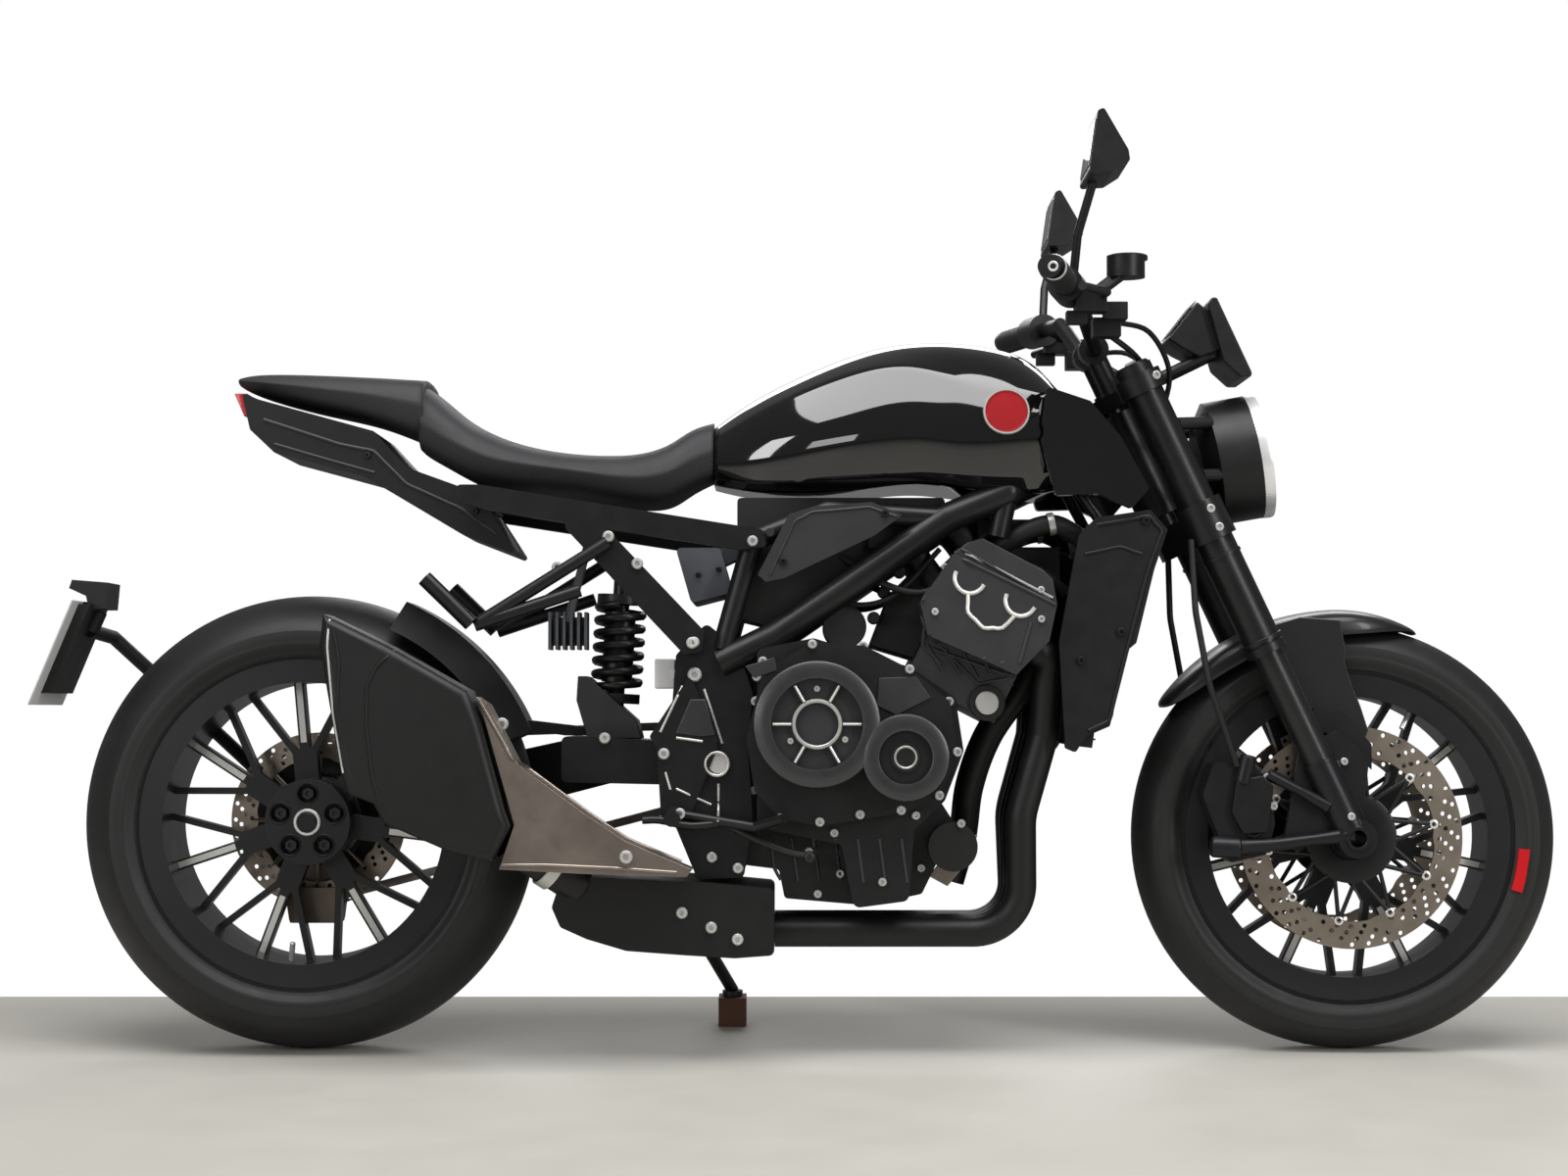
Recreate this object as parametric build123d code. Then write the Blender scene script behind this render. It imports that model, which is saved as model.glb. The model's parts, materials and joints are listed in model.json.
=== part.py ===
from build123d import *
from functools import cache
import math
import os

# A naked roadster motorcycle in millimetres: X forward, Y to its left, Z up.
# It is drawn upright with the tyres on Z 0, then leaned onto its side stand.

# Stance
LEAN = 3.0
WHEELBASE = 1460.0
FRONT_AXLE_X = 770.0
REAR_AXLE_X = FRONT_AXLE_X - WHEELBASE

# Clearances
FIT = 0.3
RUNNING_FIT = 0.05
MOVING_GAP = 6.0

# Tyres and rims
FRONT_TYRE_RADIUS = 299.0
FRONT_TYRE_WIDTH = 120.0
REAR_TYRE_RADIUS = 319.0
REAR_TYRE_WIDTH = 190.0
FLANGE_RADIUS = 234.0
SEAT_RADIUS = 216.0
RIM_WALL = 20.0
BARREL_RADIUS = SEAT_RADIUS - RIM_WALL
FLANGE_WALL = 6.0
FRONT_RIM_WIDTH = 102.0
REAR_RIM_WIDTH = 166.0
SPOKE_GROUPS = 7
SPOKE_SPREAD = 20.5
SPLIT_RADIUS = 104.0
SPLIT_SPREAD = 6.0
HUB_ARM = 34.0
WIDE_SPOKE = 14.0
THIN_SPOKE = 9.0
SPOKE_DEPTH = 26.0
FRONT_FIRST_SPOKE = 90.6
REAR_FIRST_SPOKE = 95.5
FRONT_HUB_RADIUS = 40.0
REAR_HUB_RADIUS = 60.0
REAR_HUB_INNER_Y = 40.0
REAR_HUB_OUTER_Y = -46.0
NUT_COUNT = 5
NUT_CIRCLE_RADIUS = 40.0
NUT_HOLE_RADIUS = 14.0
NUT_HOLE_DEPTH = 16.0

# Brakes
FRONT_DISC_RADIUS = 155.0
FRONT_DISC_BAND = 38.0
REAR_DISC_RADIUS = 125.0
REAR_DISC_BAND = 36.0
DISC_THICKNESS = 5.0
FRONT_DISC_Y = 72.0
REAR_DISC_Y = 60.0
CARRIER_ARMS = 10
CARRIER_ARM_WIDTH = 12.0
CARRIER_RING_RADIUS = 62.0

# Axles
AXLE_RADIUS = 16.0
AXLE_BORE = 12.0
SPINDLE_RADIUS = 30.0
SPINDLE_BORE = 14.0
SPINDLE_NECK_RADIUS = 41.0

# Steering and fork, with heights along the raked steering axis above the axle
RAKE = 25.0
STEERING_LOCK = 33.0
FORK_OFFSET = 36.0
FORK_HALF_SPREAD = 105.0
FORK_TUBE_RADIUS = 27.0
FORK_SLIDER_RADIUS = 21.5
FORK_BOTTOM_RADIUS = 25.0
FORK_TUBE_LOW = 284.0
FORK_BOTTOM_TOP = 118.0
FORK_TUBE_TOP = 722.0
LOWER_YOKE_LOW = 456.0
LOWER_YOKE_HEIGHT = 56.0
UPPER_YOKE_LOW = 682.0
UPPER_YOKE_HEIGHT = 27.0
YOKE_WALL = 7.0
STEM_RADIUS = 17.0
HEAD_TUBE_RADIUS = 34.0

# Handlebar
BAR_HALF_WIDTH = 395.0
BAR_RADIUS = 11.0
BAR_RISER = 62.0
BAR_CLAMP_HALF_SPREAD = 40.0
GRIP_RADIUS = 16.5
GRIP_LENGTH = 125.0

# Frame
SPAR_RADIUS = 21.0
SPAR_HALF_SPREAD = 122.0
PIVOT_X = -111.0
PIVOT_Z = 403.0
PIVOT_RADIUS = 14.0
PLATE_INNER_Y = 108.0
PLATE_WALL = 22.0
SUBFRAME_WALL = 20.0
SHOCK_TOP = (-250.0, 676.0)
SHOCK_FOOT = (-262.0, 456.0)
SHOCK_PIN_RADIUS = 12.0
SWINGARM_TOP = 440.0
HUGGER_FIRST_ANGLE = 22.0

# Engine
CASE_HALF_WIDTH = 145.0
SUMP_HALF_WIDTH = 100.0
CYLINDER_HALF_WIDTH = 142.0
HEAD_HALF_WIDTH = 185.0
CRANK_X = 24.0
CRANK_Z = 457.0
CLUTCH_RADIUS = 85.0
CLUTCH_OUTER_Y = 205.0
COVER_WALL = 24.0
STARTER_X = 144.0
STARTER_Z = 412.0
STARTER_RADIUS = 57.0
AIRBOX_HALF_WIDTH = 96.0
THROTTLE_SPACING = 50.0
THROTTLE_RADIUS = 19.0

# Chain drive
CHAIN_Y = 150.0
CHAIN_WIDTH = 18.0
CHAIN_HEIGHT = 12.0
REAR_SPROCKET_RADIUS = 108.0
FRONT_SPROCKET_RADIUS = 36.0
SPROCKET_WALL = 6.0
CHAIN_GAP = 1.5
FRONT_SPROCKET_X = -40.0
FRONT_SPROCKET_Z = 415.0

# Exhaust
HEADER_RADIUS = 21.0
PORT_SPACING = 84.0
LINK_PIPE = ((-300.0, -140.0, 235.0), (-396.0, -180.0, 300.0))
MUFFLER_INNER_Y = 132.0
MUFFLER_OUTER_Y = 245.0

# Side stand and the wooden block under its foot
BLOCK_X = -97.0
BLOCK_Y = 215.0
BLOCK_LENGTH = 41.0
BLOCK_WIDTH = 53.0
BLOCK_HEIGHT = 42.0
STAND_RADIUS = 9.0
STAND_EYE_RADIUS = 16.0
STAND_EYE_HALF = 10.0
STAND_PIN_RADIUS = 6.0
STAND_FOOT_RADIUS = 15.0
STAND_FOOT_WALL = 8.0
STAND_PIVOT = (-126.0, 116.0, 212.0)
STAND_KNEE = (-128.0, 156.0, 120.0)
STAND_STOWED = (-0.95, 0.25, 0.45)
STAND_FOLD = 100.0

# Frames of reference
FRONT_AXLE = Vector(FRONT_AXLE_X, 0, FRONT_TYRE_RADIUS)
REAR_AXLE = Vector(REAR_AXLE_X, 0, REAR_TYRE_RADIUS)
RAKE_SIN = math.sin(math.radians(RAKE))
RAKE_COS = math.cos(math.radians(RAKE))
STEERING = Plane(
    origin=FRONT_AXLE - FORK_OFFSET * Vector(RAKE_COS, 0, RAKE_SIN),
    x_dir=(RAKE_COS, 0, RAKE_SIN),
    z_dir=(-RAKE_SIN, 0, RAKE_COS),
)
BASE = (Align.CENTER, Align.CENTER, Align.MIN)


def rod(start, end, radius):
    """A round bar between two points."""
    start, end = Vector(start), Vector(end)
    run = end - start
    return Plane(origin=start, z_dir=run) * Cylinder(radius, run.length, align=BASE)


def chain_of_rods(points, radius):
    """Round bars from point to point, with a ball at each bend."""
    whole = rod(points[0], points[1], radius)
    for start, end in zip(points[1:], points[2:]):
        whole += Pos(start) * Sphere(radius)
        whole += rod(start, end, radius)
    return whole


def bent_tube(points, bend, radius):
    """A round tube along straight runs joined by arcs."""
    path = FilletPolyline(*points, radius=bend)
    section = Plane(origin=path @ 0, z_dir=path % 0) * Circle(radius)
    return sweep(section, path)


def slab(points, y_low, y_high, rounding=0.0):
    """A plate seen from the side: an outline in X and Z between two Y."""
    corners = [(x, y_low, z) for x, z in points]
    if rounding:
        edge = FilletPolyline(*corners, radius=rounding, close=True)
    else:
        edge = Polyline(*corners, close=True)
    return extrude(make_face(edge), y_high - y_low, dir=(0, 1, 0))


def disc(x, z, radius, y_low, y_high):
    """A round plate across the machine."""
    return rod((x, y_low, z), (x, y_high, z), radius)


def both_sides(piece):
    """A piece and its mirror image on the other side."""
    return piece + mirror(piece, about=Plane.XZ)


def turned(points):
    """A ring about Y from an outline in radius and Y."""
    face = make_face(Polyline(*[(r, y, 0) for r, y in points], close=True))
    return revolve(face, Axis.Y, 360)


def on_fork(forward, left, along):
    """A point given from the steering axis, to its left and along it."""
    return STEERING.from_local_coords(Vector(forward, left, along))


# Wheels


def rim_ring(width):
    half = width / 2
    return turned([
        (BARREL_RADIUS, -half), (FLANGE_RADIUS, -half), (FLANGE_RADIUS, FLANGE_WALL - half),
        (SEAT_RADIUS, FLANGE_WALL - half), (SEAT_RADIUS, half - FLANGE_WALL),
        (FLANGE_RADIUS, half - FLANGE_WALL), (FLANGE_RADIUS, half), (BARREL_RADIUS, half),
    ])


def spoke(start_radius, start_angle, end_radius, end_angle, width):
    """One straight spoke between two points of the wheel."""
    start = Vector(start_radius, 0, 0).rotate(Axis.Z, start_angle)
    end = Vector(end_radius, 0, 0).rotate(Axis.Z, end_angle)
    run = end - start
    bar = Box(run.length, width, SPOKE_DEPTH, align=(Align.MIN, Align.CENTER, Align.CENTER))
    heading = math.degrees(math.atan2(run.Y, run.X))
    return Pos(start) * Rot(0, 0, heading) * bar


def spokes(first_angle, hub_radius):
    """Hub arms that each split into one wide spoke between two thin ones."""
    whole = Part()
    rim_end = BARREL_RADIUS + 2
    for group in range(SPOKE_GROUPS):
        angle = first_angle + group * 360 / SPOKE_GROUPS
        whole += spoke(hub_radius - 5, angle, SPLIT_RADIUS, angle, HUB_ARM)
        whole += spoke(SPLIT_RADIUS - 10, angle, rim_end, angle, WIDE_SPOKE)
        for side in (-1, 1):
            split_angle = angle + side * SPLIT_SPREAD
            whole += spoke(SPLIT_RADIUS - 10, split_angle, rim_end, angle + side * SPOKE_SPREAD, THIN_SPOKE)
    return Rot(90, 0, 0) * whole


def tyre(radius, width, rim_width):
    """A solid tyre whose crown and walls are arcs, seated between the flanges."""
    half = width / 2
    shoulder_y = half * 0.95
    shoulder_r = radius - half * 0.55
    wall_r = (shoulder_r + FLANGE_RADIUS) / 2
    foot_r = FLANGE_RADIUS + FIT
    foot_y = rim_width / 2 + 1
    bead_y = rim_width / 2 - FLANGE_WALL - FIT
    bead_r = SEAT_RADIUS + FIT
    crown = ThreePointArc((shoulder_r, -shoulder_y), (radius, 0), (shoulder_r, shoulder_y))
    left_wall = ThreePointArc((shoulder_r, shoulder_y), (wall_r, half), (foot_r, foot_y))
    right_wall = ThreePointArc((foot_r, -foot_y), (wall_r, -half), (shoulder_r, -shoulder_y))
    bead = Polyline(
        (foot_r, foot_y), (foot_r, bead_y), (bead_r, bead_y),
        (bead_r, -bead_y), (foot_r, -bead_y), (foot_r, -foot_y),
    )
    return revolve(make_face([crown, left_wall, bead, right_wall]), Axis.Y, 360)


def front_rim():
    hub = disc(0, 0, FRONT_HUB_RADIUS, -front_hub_half(), front_hub_half())
    wheel = rim_ring(FRONT_RIM_WIDTH) + spokes(FRONT_FIRST_SPOKE, FRONT_HUB_RADIUS) + hub
    wheel -= disc(0, 0, AXLE_RADIUS + RUNNING_FIT, -FRONT_DISC_Y, FRONT_DISC_Y)
    return Pos(FRONT_AXLE) * wheel


def front_hub_half():
    """The hub ends where the disc carriers seat on it."""
    return FRONT_DISC_Y - DISC_THICKNESS / 2


def rear_rim():
    hub = disc(0, 0, REAR_HUB_RADIUS, REAR_HUB_OUTER_Y, REAR_HUB_INNER_Y)
    wheel = rim_ring(REAR_RIM_WIDTH) + spokes(REAR_FIRST_SPOKE, REAR_HUB_RADIUS) + hub
    wheel -= disc(0, 0, SPINDLE_BORE, REAR_HUB_OUTER_Y, REAR_HUB_INNER_Y)
    for nut in range(NUT_COUNT):
        turn = math.radians(90 + nut * 360 / NUT_COUNT)
        x = NUT_CIRCLE_RADIUS * math.cos(turn)
        z = NUT_CIRCLE_RADIUS * math.sin(turn)
        wheel -= disc(x, z, NUT_HOLE_RADIUS, REAR_HUB_OUTER_Y, REAR_HUB_OUTER_Y + NUT_HOLE_DEPTH)
    return Pos(REAR_AXLE) * wheel


def front_tyre():
    return Pos(FRONT_AXLE) * tyre(FRONT_TYRE_RADIUS, FRONT_TYRE_WIDTH, FRONT_RIM_WIDTH)


def rear_tyre():
    return Pos(REAR_AXLE) * tyre(REAR_TYRE_RADIUS, REAR_TYRE_WIDTH, REAR_RIM_WIDTH)


def brake_disc(radius, band, hole, y):
    """A rotor band on a carrier with arms and a centre ring."""
    ring_radius = CARRIER_RING_RADIUS
    y_low, y_high = y - DISC_THICKNESS / 2, y + DISC_THICKNESS / 2
    rotor = disc(0, 0, radius, y_low, y_high) - disc(0, 0, radius - band, y_low, y_high)
    ring = disc(0, 0, ring_radius, y_low, y_high) - disc(0, 0, hole, y_low, y_high)
    whole = rotor + ring
    reach = radius - band + 12 - ring_radius
    arm = Pos(ring_radius - 6, y, 0) * Box(
        reach, DISC_THICKNESS, CARRIER_ARM_WIDTH, align=(Align.MIN, Align.CENTER, Align.CENTER)
    )
    for index in range(CARRIER_ARMS):
        whole += Rot(0, index * 360 / CARRIER_ARMS, 0) * arm
    return whole


def front_discs():
    right = brake_disc(FRONT_DISC_RADIUS, FRONT_DISC_BAND, FRONT_HUB_RADIUS - 10, -FRONT_DISC_Y)
    return Pos(FRONT_AXLE) * both_sides(right)


def rear_disc():
    return Pos(REAR_AXLE) * brake_disc(REAR_DISC_RADIUS, REAR_DISC_BAND, SPINDLE_NECK_RADIUS + FIT, REAR_DISC_Y)


def rear_sprocket():
    """The hollow spindle that carries the disc, the sprocket and the wheel."""
    disc_low = REAR_DISC_Y - DISC_THICKNESS / 2
    disc_high = REAR_DISC_Y + DISC_THICKNESS / 2
    flange = disc(0, 0, SPINDLE_RADIUS + 26, REAR_HUB_INNER_Y, disc_low)
    neck = disc(0, 0, SPINDLE_NECK_RADIUS, disc_low, disc_high)
    spindle = disc(0, 0, SPINDLE_RADIUS, disc_high, CHAIN_Y + 22)
    sprocket = disc(0, 0, REAR_SPROCKET_RADIUS, CHAIN_Y - SPROCKET_WALL / 2, CHAIN_Y + SPROCKET_WALL / 2)
    whole = flange + neck + spindle + sprocket
    whole -= disc(0, 0, SPINDLE_BORE, REAR_HUB_INNER_Y, CHAIN_Y + 22)
    return Pos(REAR_AXLE) * whole


# Fork and what turns with it


def fork_leg(radius, low, high):
    leg = Pos(FORK_OFFSET, FORK_HALF_SPREAD, low) * Cylinder(radius, high - low, align=BASE)
    return both_sides(STEERING * leg)


def fork_tubes():
    tubes = fork_leg(FORK_TUBE_RADIUS, FORK_TUBE_LOW, FORK_TUBE_TOP)
    return tubes - fork_leg(FORK_SLIDER_RADIUS + FIT, FORK_TUBE_LOW, FORK_TUBE_LOW + 40)


def fork_sliders():
    return fork_leg(FORK_SLIDER_RADIUS, FORK_BOTTOM_TOP, FORK_TUBE_LOW + 40)


def fork_bottoms():
    """The cast feet of the fork with their caliper lugs, joined by the hollow axle."""
    feet = fork_leg(FORK_BOTTOM_RADIUS, 0, FORK_BOTTOM_TOP)
    inner = FORK_HALF_SPREAD - 21
    outer = FORK_HALF_SPREAD + 22
    feet += both_sides(disc(FRONT_AXLE.X, FRONT_AXLE.Z, 27, inner, outer))
    lug_points = [(-75, 128), (-20, 150), (20, 110), (10, 20), (-40, 10), (-80, -20), (-98, 0)]
    lug = [(FRONT_AXLE.X + x, FRONT_AXLE.Z + z) for x, z in lug_points]
    feet += both_sides(slab(lug, inner + 8, inner + 22))
    feet += both_sides(fender_lug(inner))
    axle = disc(FRONT_AXLE.X, FRONT_AXLE.Z, AXLE_RADIUS, -outer - 4, outer + 4)
    bore = disc(FRONT_AXLE.X, FRONT_AXLE.Z, AXLE_BORE, -outer - 4, outer + 4)
    whole = feet + axle - bore
    return whole - fork_leg(FORK_SLIDER_RADIUS, FORK_BOTTOM_TOP, FORK_TUBE_LOW)


def fender_lug(inner):
    lug = [(-60, 150), (-15, 140), (25, 95), (25, 130), (-10, 170), (-55, 180)]
    return slab([(FRONT_AXLE.X + x, FRONT_AXLE.Z + z) for x, z in lug], inner + 4, inner + 14)


def yoke(low, height, collar_radius):
    """A clamp across both fork tubes and the steering stem."""
    tube_centres = [(FORK_OFFSET, FORK_HALF_SPREAD), (FORK_OFFSET, -FORK_HALF_SPREAD)]
    whole = Part()
    for forward, left in tube_centres:
        whole += Pos(forward, left, low) * Cylinder(collar_radius, height, align=BASE)
    middle = make_face(Polyline(
        (-24, 34), (FORK_OFFSET - 6, FORK_HALF_SPREAD), (FORK_OFFSET + 22, FORK_HALF_SPREAD),
        (FORK_OFFSET + 22, -FORK_HALF_SPREAD), (FORK_OFFSET - 6, -FORK_HALF_SPREAD), (-24, -34),
        close=True,
    ))
    whole += Pos(0, 0, low) * extrude(middle, height * 0.8)
    return whole


@cache
def steering_yokes():
    stem_low = LOWER_YOKE_LOW
    stem_high = UPPER_YOKE_LOW + UPPER_YOKE_HEIGHT
    local = yoke(LOWER_YOKE_LOW, LOWER_YOKE_HEIGHT, FORK_TUBE_RADIUS + YOKE_WALL)
    local += yoke(UPPER_YOKE_LOW, UPPER_YOKE_HEIGHT, FORK_TUBE_RADIUS + YOKE_WALL)
    local += Pos(0, 0, stem_low) * Cylinder(STEM_RADIUS, stem_high - stem_low, align=BASE)
    forward, left, along = bar_centre_local()
    for side in (-BAR_CLAMP_HALF_SPREAD, BAR_CLAMP_HALF_SPREAD):
        local += Pos(forward, side, UPPER_YOKE_LOW + 10) * Cylinder(
            14, along - UPPER_YOKE_LOW - 10, align=BASE
        )
        local += Pos(forward, side, along) * Rot(90, 0, 0) * Cylinder(21, 30)
    whole = STEERING * local
    whole -= fork_leg(FORK_TUBE_RADIUS + RUNNING_FIT, LOWER_YOKE_LOW - 5, FORK_TUBE_TOP + 10)
    return whole - bar_tube(BAR_RADIUS + RUNNING_FIT)


def bar_centre_local():
    return (6, 0, UPPER_YOKE_LOW + UPPER_YOKE_HEIGHT + BAR_RISER)


def bar_points():
    """The bar from its centre out to the left end, as a list of points."""
    forward, left, along = bar_centre_local()
    rise = on_fork(forward - 2, 140, along + 66)
    end = on_fork(forward - 54, BAR_HALF_WIDTH, along + 98)
    return [on_fork(forward, 0, along), on_fork(forward, 70, along), rise, end]


def bar_tube(radius):
    left = chain_of_rods(bar_points(), radius)
    return both_sides(left)


def grip_span():
    """The two ends of the left grip."""
    points = bar_points()
    run = (points[3] - points[2]).normalized()
    return points[3] - GRIP_LENGTH * run, points[3]


def handlebar():
    inner, outer = grip_span()
    run = (outer - inner).normalized()
    weight = rod(outer, outer + 14 * run, GRIP_RADIUS - 1)
    return bar_tube(BAR_RADIUS) + both_sides(weight)


def grips():
    inner, outer = grip_span()
    sleeve = rod(inner, outer - FIT * (outer - inner).normalized(), GRIP_RADIUS)
    return both_sides(sleeve) - bar_tube(BAR_RADIUS + RUNNING_FIT)


def controls():
    """Switch housings and levers on both sides, and the brake fluid cup on the right."""
    inner, outer = grip_span()
    run = (outer - inner).normalized()
    housing = rod(inner - 62 * run, inner - 2 * run, 24)
    perch_start = inner - 50 * run
    lever_root = perch_start + Vector(44, 0, -8)
    lever_tip = outer + Vector(42, -10, -22)
    perch = rod(perch_start, lever_root, 12)
    lever = chain_of_rods([lever_root, lever_root + Vector(0, 60, -4), lever_tip], 6)
    whole = both_sides(housing + perch + lever)
    post = Vector(perch_start.X, -perch_start.Y, perch_start.Z)
    cup_base = post + Vector(78, 16, 18)
    whole += rod(post + Vector(34, 4, -6), cup_base + Vector(-8, 0, 4), 9)
    whole += Pos(cup_base) * Cylinder(26, 30, align=BASE)
    return whole - bar_tube(BAR_RADIUS + RUNNING_FIT)


def mirrors():
    inner, outer = grip_span()
    run = (outer - inner).normalized()
    root = inner - 30 * run + Vector(8, 0, 16)
    elbow = root + Vector(4, 18, 52)
    neck = root + Vector(26, 50, 132)
    stalk = chain_of_rods([root, elbow, neck], 6)
    outline = [(-18, -16), (-6, 66), (2, 70), (34, 14), (36, 0), (14, -14)]
    points = [(neck.X + x, neck.Z + z) for x, z in outline]
    return both_sides(stalk + slab(points, neck.Y - 46, neck.Y + 86, 4)) - controls()


def headlight_axis():
    """Centre of the lamp's face and the direction in which it shines."""
    tilt = math.radians(10)
    return Vector(660, 0, 839), Vector(math.cos(tilt), 0, math.sin(tilt))


def headlight():
    centre, shine = headlight_axis()
    lamp = Plane(origin=centre - 92 * shine, z_dir=shine)
    shell = lamp * Cone(56, 88, 20, align=BASE)
    shell += lamp * Pos(0, 0, 20) * Cylinder(88, 72, align=BASE)
    shell -= lamp * Pos(0, 0, 70) * Cylinder(82, 30, align=BASE)
    for along in (545, 625):
        ear = on_fork(FORK_OFFSET + FORK_TUBE_RADIUS - 2, FORK_HALF_SPREAD - 14, along)
        shell += both_sides(rod(ear, ear + Vector(50, -26, 4), 9))
    return shell - fork_leg(FORK_TUBE_RADIUS + FIT, LOWER_YOKE_LOW, FORK_TUBE_TOP)


def headlight_lens():
    centre, shine = headlight_axis()
    lamp = Plane(origin=centre - 22 * shine, z_dir=shine)
    return lamp * Cylinder(82 - FIT, 16, align=BASE)


def instrument():
    """The display in its hood, on two feet from the upper yoke."""
    outline = [(520, 1006), (566, 1056), (590, 1059), (640, 945), (628, 941), (590, 962)]
    body = slab(outline, -72, 72, 3)
    foot_start = on_fork(FORK_OFFSET + 10, 40, UPPER_YOKE_LOW + UPPER_YOKE_HEIGHT / 2)
    return body + both_sides(rod(foot_start, (596, 40, 985), 8)) - steering_yokes()


def fender_outline(radius, wall, half_width, side_drop):
    """The fender's section over the crown: a flat top with sloping flanks."""
    outer = [(radius + wall, 0), (radius + wall, half_width * 0.5), (radius - side_drop, half_width)]
    inner = [(radius - side_drop, half_width - wall), (radius, half_width * 0.45)]
    left = outer + inner
    right = [(r, -y) for r, y in reversed(left[1:])]
    return left + right


def fender_arc(centre, points, first_angle, last_angle):
    """Part of a turn of a section about a wheel's axle, angles from ahead and upwards."""
    face = make_face(Polyline(*[(r, y, 0) for r, y in points], close=True))
    arc = revolve(face, Axis.Y, last_angle - first_angle)
    return Pos(centre) * Rot(0, -first_angle, 0) * mirror(arc, about=Plane.XY)


def front_fender():
    half = FRONT_TYRE_WIDTH / 2 + 12
    section = fender_outline(FRONT_TYRE_RADIUS + 10, 4, half, 34)
    whole = fender_arc(FRONT_AXLE, section, 69, 144)
    plate_points = [(-30, 84), (4, 88), (24, 130), (22, 152), (12, 186), (-6, 246), (-64, 262), (-80, 200)]
    plate_outline = [(FRONT_AXLE.X + x, FRONT_AXLE.Z + z) for x, z in plate_points]
    plate_y = FRONT_DISC_Y + DISC_THICKNESS / 2 + MOVING_GAP
    side_plate = slab(plate_outline, plate_y, plate_y + 4)
    joint_points = [(-64, 262), (-6, 246), (2, 218), (-74, 222)]
    joint_outline = [(FRONT_AXLE.X + x, FRONT_AXLE.Z + z) for x, z in joint_points]
    joint = slab(joint_outline, half - 4, plate_y + 4)
    flank_points = [(-46, 158), (20, 164), (22, 190), (8, 285), (-60, 285), (-90, 250)]
    flank = [(FRONT_AXLE.X + x, FRONT_AXLE.Z + z) for x, z in flank_points]
    boss_x, boss_z = FRONT_AXLE.X - 36, FRONT_AXLE.Z + 168
    boss = disc(boss_x, boss_z, 8, half - 2, FORK_HALF_SPREAD - 17 - FIT)
    whole += both_sides(slab(flank, half - 4, half) + boss + side_plate + joint)
    return whole - fork_leg(FORK_TUBE_RADIUS + FIT, 0, FORK_TUBE_TOP) - fork_bottoms()


def front_calipers():
    """A caliper each side, open at the front where the disc runs through it."""
    points = [(-212, 60), (-196, 104), (-150, 108), (-118, 80), (-112, 20), (-124, -22), (-176, -34)]
    outline = [(FRONT_AXLE.X + x, FRONT_AXLE.Z + z) for x, z in points]
    gap = DISC_THICKNESS / 2 + MOVING_GAP
    inner_half = slab(outline, 56, FRONT_DISC_Y - gap, 6)
    outer_half = slab(outline, FRONT_DISC_Y + gap, 112, 6)
    bridge = slab(outline, 60, 100, 6)
    bridge -= disc(FRONT_AXLE.X, FRONT_AXLE.Z, FRONT_DISC_RADIUS + MOVING_GAP, 50, 120)
    return both_sides(inner_half + outer_half + bridge)


def brake_hoses():
    """Hoses from the lower yoke to each caliper."""
    top = on_fork(4, FORK_HALF_SPREAD + 22, 470)
    end = Vector(FRONT_AXLE.X - 165, 117, FRONT_AXLE.Z + 100)
    points = [top, top + Vector(4, 12, -100), top + Vector(22, 14, -200), end]
    return both_sides(bent_tube(points, 90, 4.5))


# Frame


def head_span():
    """The low and high ends of the steering head along the steering axis."""
    return LOWER_YOKE_LOW + LOWER_YOKE_HEIGHT + MOVING_GAP, UPPER_YOKE_LOW - MOVING_GAP


def spars(extra=0.0):
    """The twin spars and the rear rails, thicker by a clearance where they cut a neighbour."""
    head_mid = on_fork(0, 0, sum(head_span()) / 2)
    y = SPAR_HALF_SPREAD
    spar = chain_of_rods([
        head_mid + Vector(-20, 20, 0), (372, 58, 816), (290, y - 8, 778), (206, y, 742),
        (-33, y, 578), (-110, y, 540),
    ], SPAR_RADIUS + extra)
    rear = chain_of_rods([(206, y, 742), (40, y, 752), (-64, y, 711), (-106, y, 560)], 15 + extra)
    return both_sides(spar + rear)


def radiator_hangers(extra=0.0):
    return both_sides(rod((372, 58, 816), (424, 110, 731), 8 + extra))


@cache
def main_frame():
    """Steering head, twin spars, rear uprights and the plates of the swingarm pivot."""
    head_low, head_high = head_span()
    head_height = head_high - head_low
    head = STEERING * Pos(0, 0, head_low) * Cylinder(HEAD_TUBE_RADIUS, head_height, align=BASE)
    y = SPAR_HALF_SPREAD
    hanger = rod((290, y - 8, 778), (276, y - 8, 716), 15)
    plate_points = [
        (-170, 552), (-128, 596), (-84, 560), (-64, 500), (-70, 420), (-64, 330), (-76, 246),
        (-140, 244), (-176, 330), (-192, 400), (-176, 470),
    ]
    plate = slab(plate_points, PLATE_INNER_Y, PLATE_INNER_Y + PLATE_WALL, 8)
    plate -= disc(PIVOT_X, PIVOT_Z, PIVOT_RADIUS, PLATE_INNER_Y - 1, PLATE_INNER_Y + PLATE_WALL + 1)
    whole = head + spars() + both_sides(hanger + plate) + radiator_hangers()
    whole += rod((-64, -y, 711), (-64, y, 711), 12) + stand_lug()
    return whole - STEERING * Pos(0, 0, head_low) * Cylinder(
        STEM_RADIUS + RUNNING_FIT, head_height, align=BASE
    )


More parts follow.
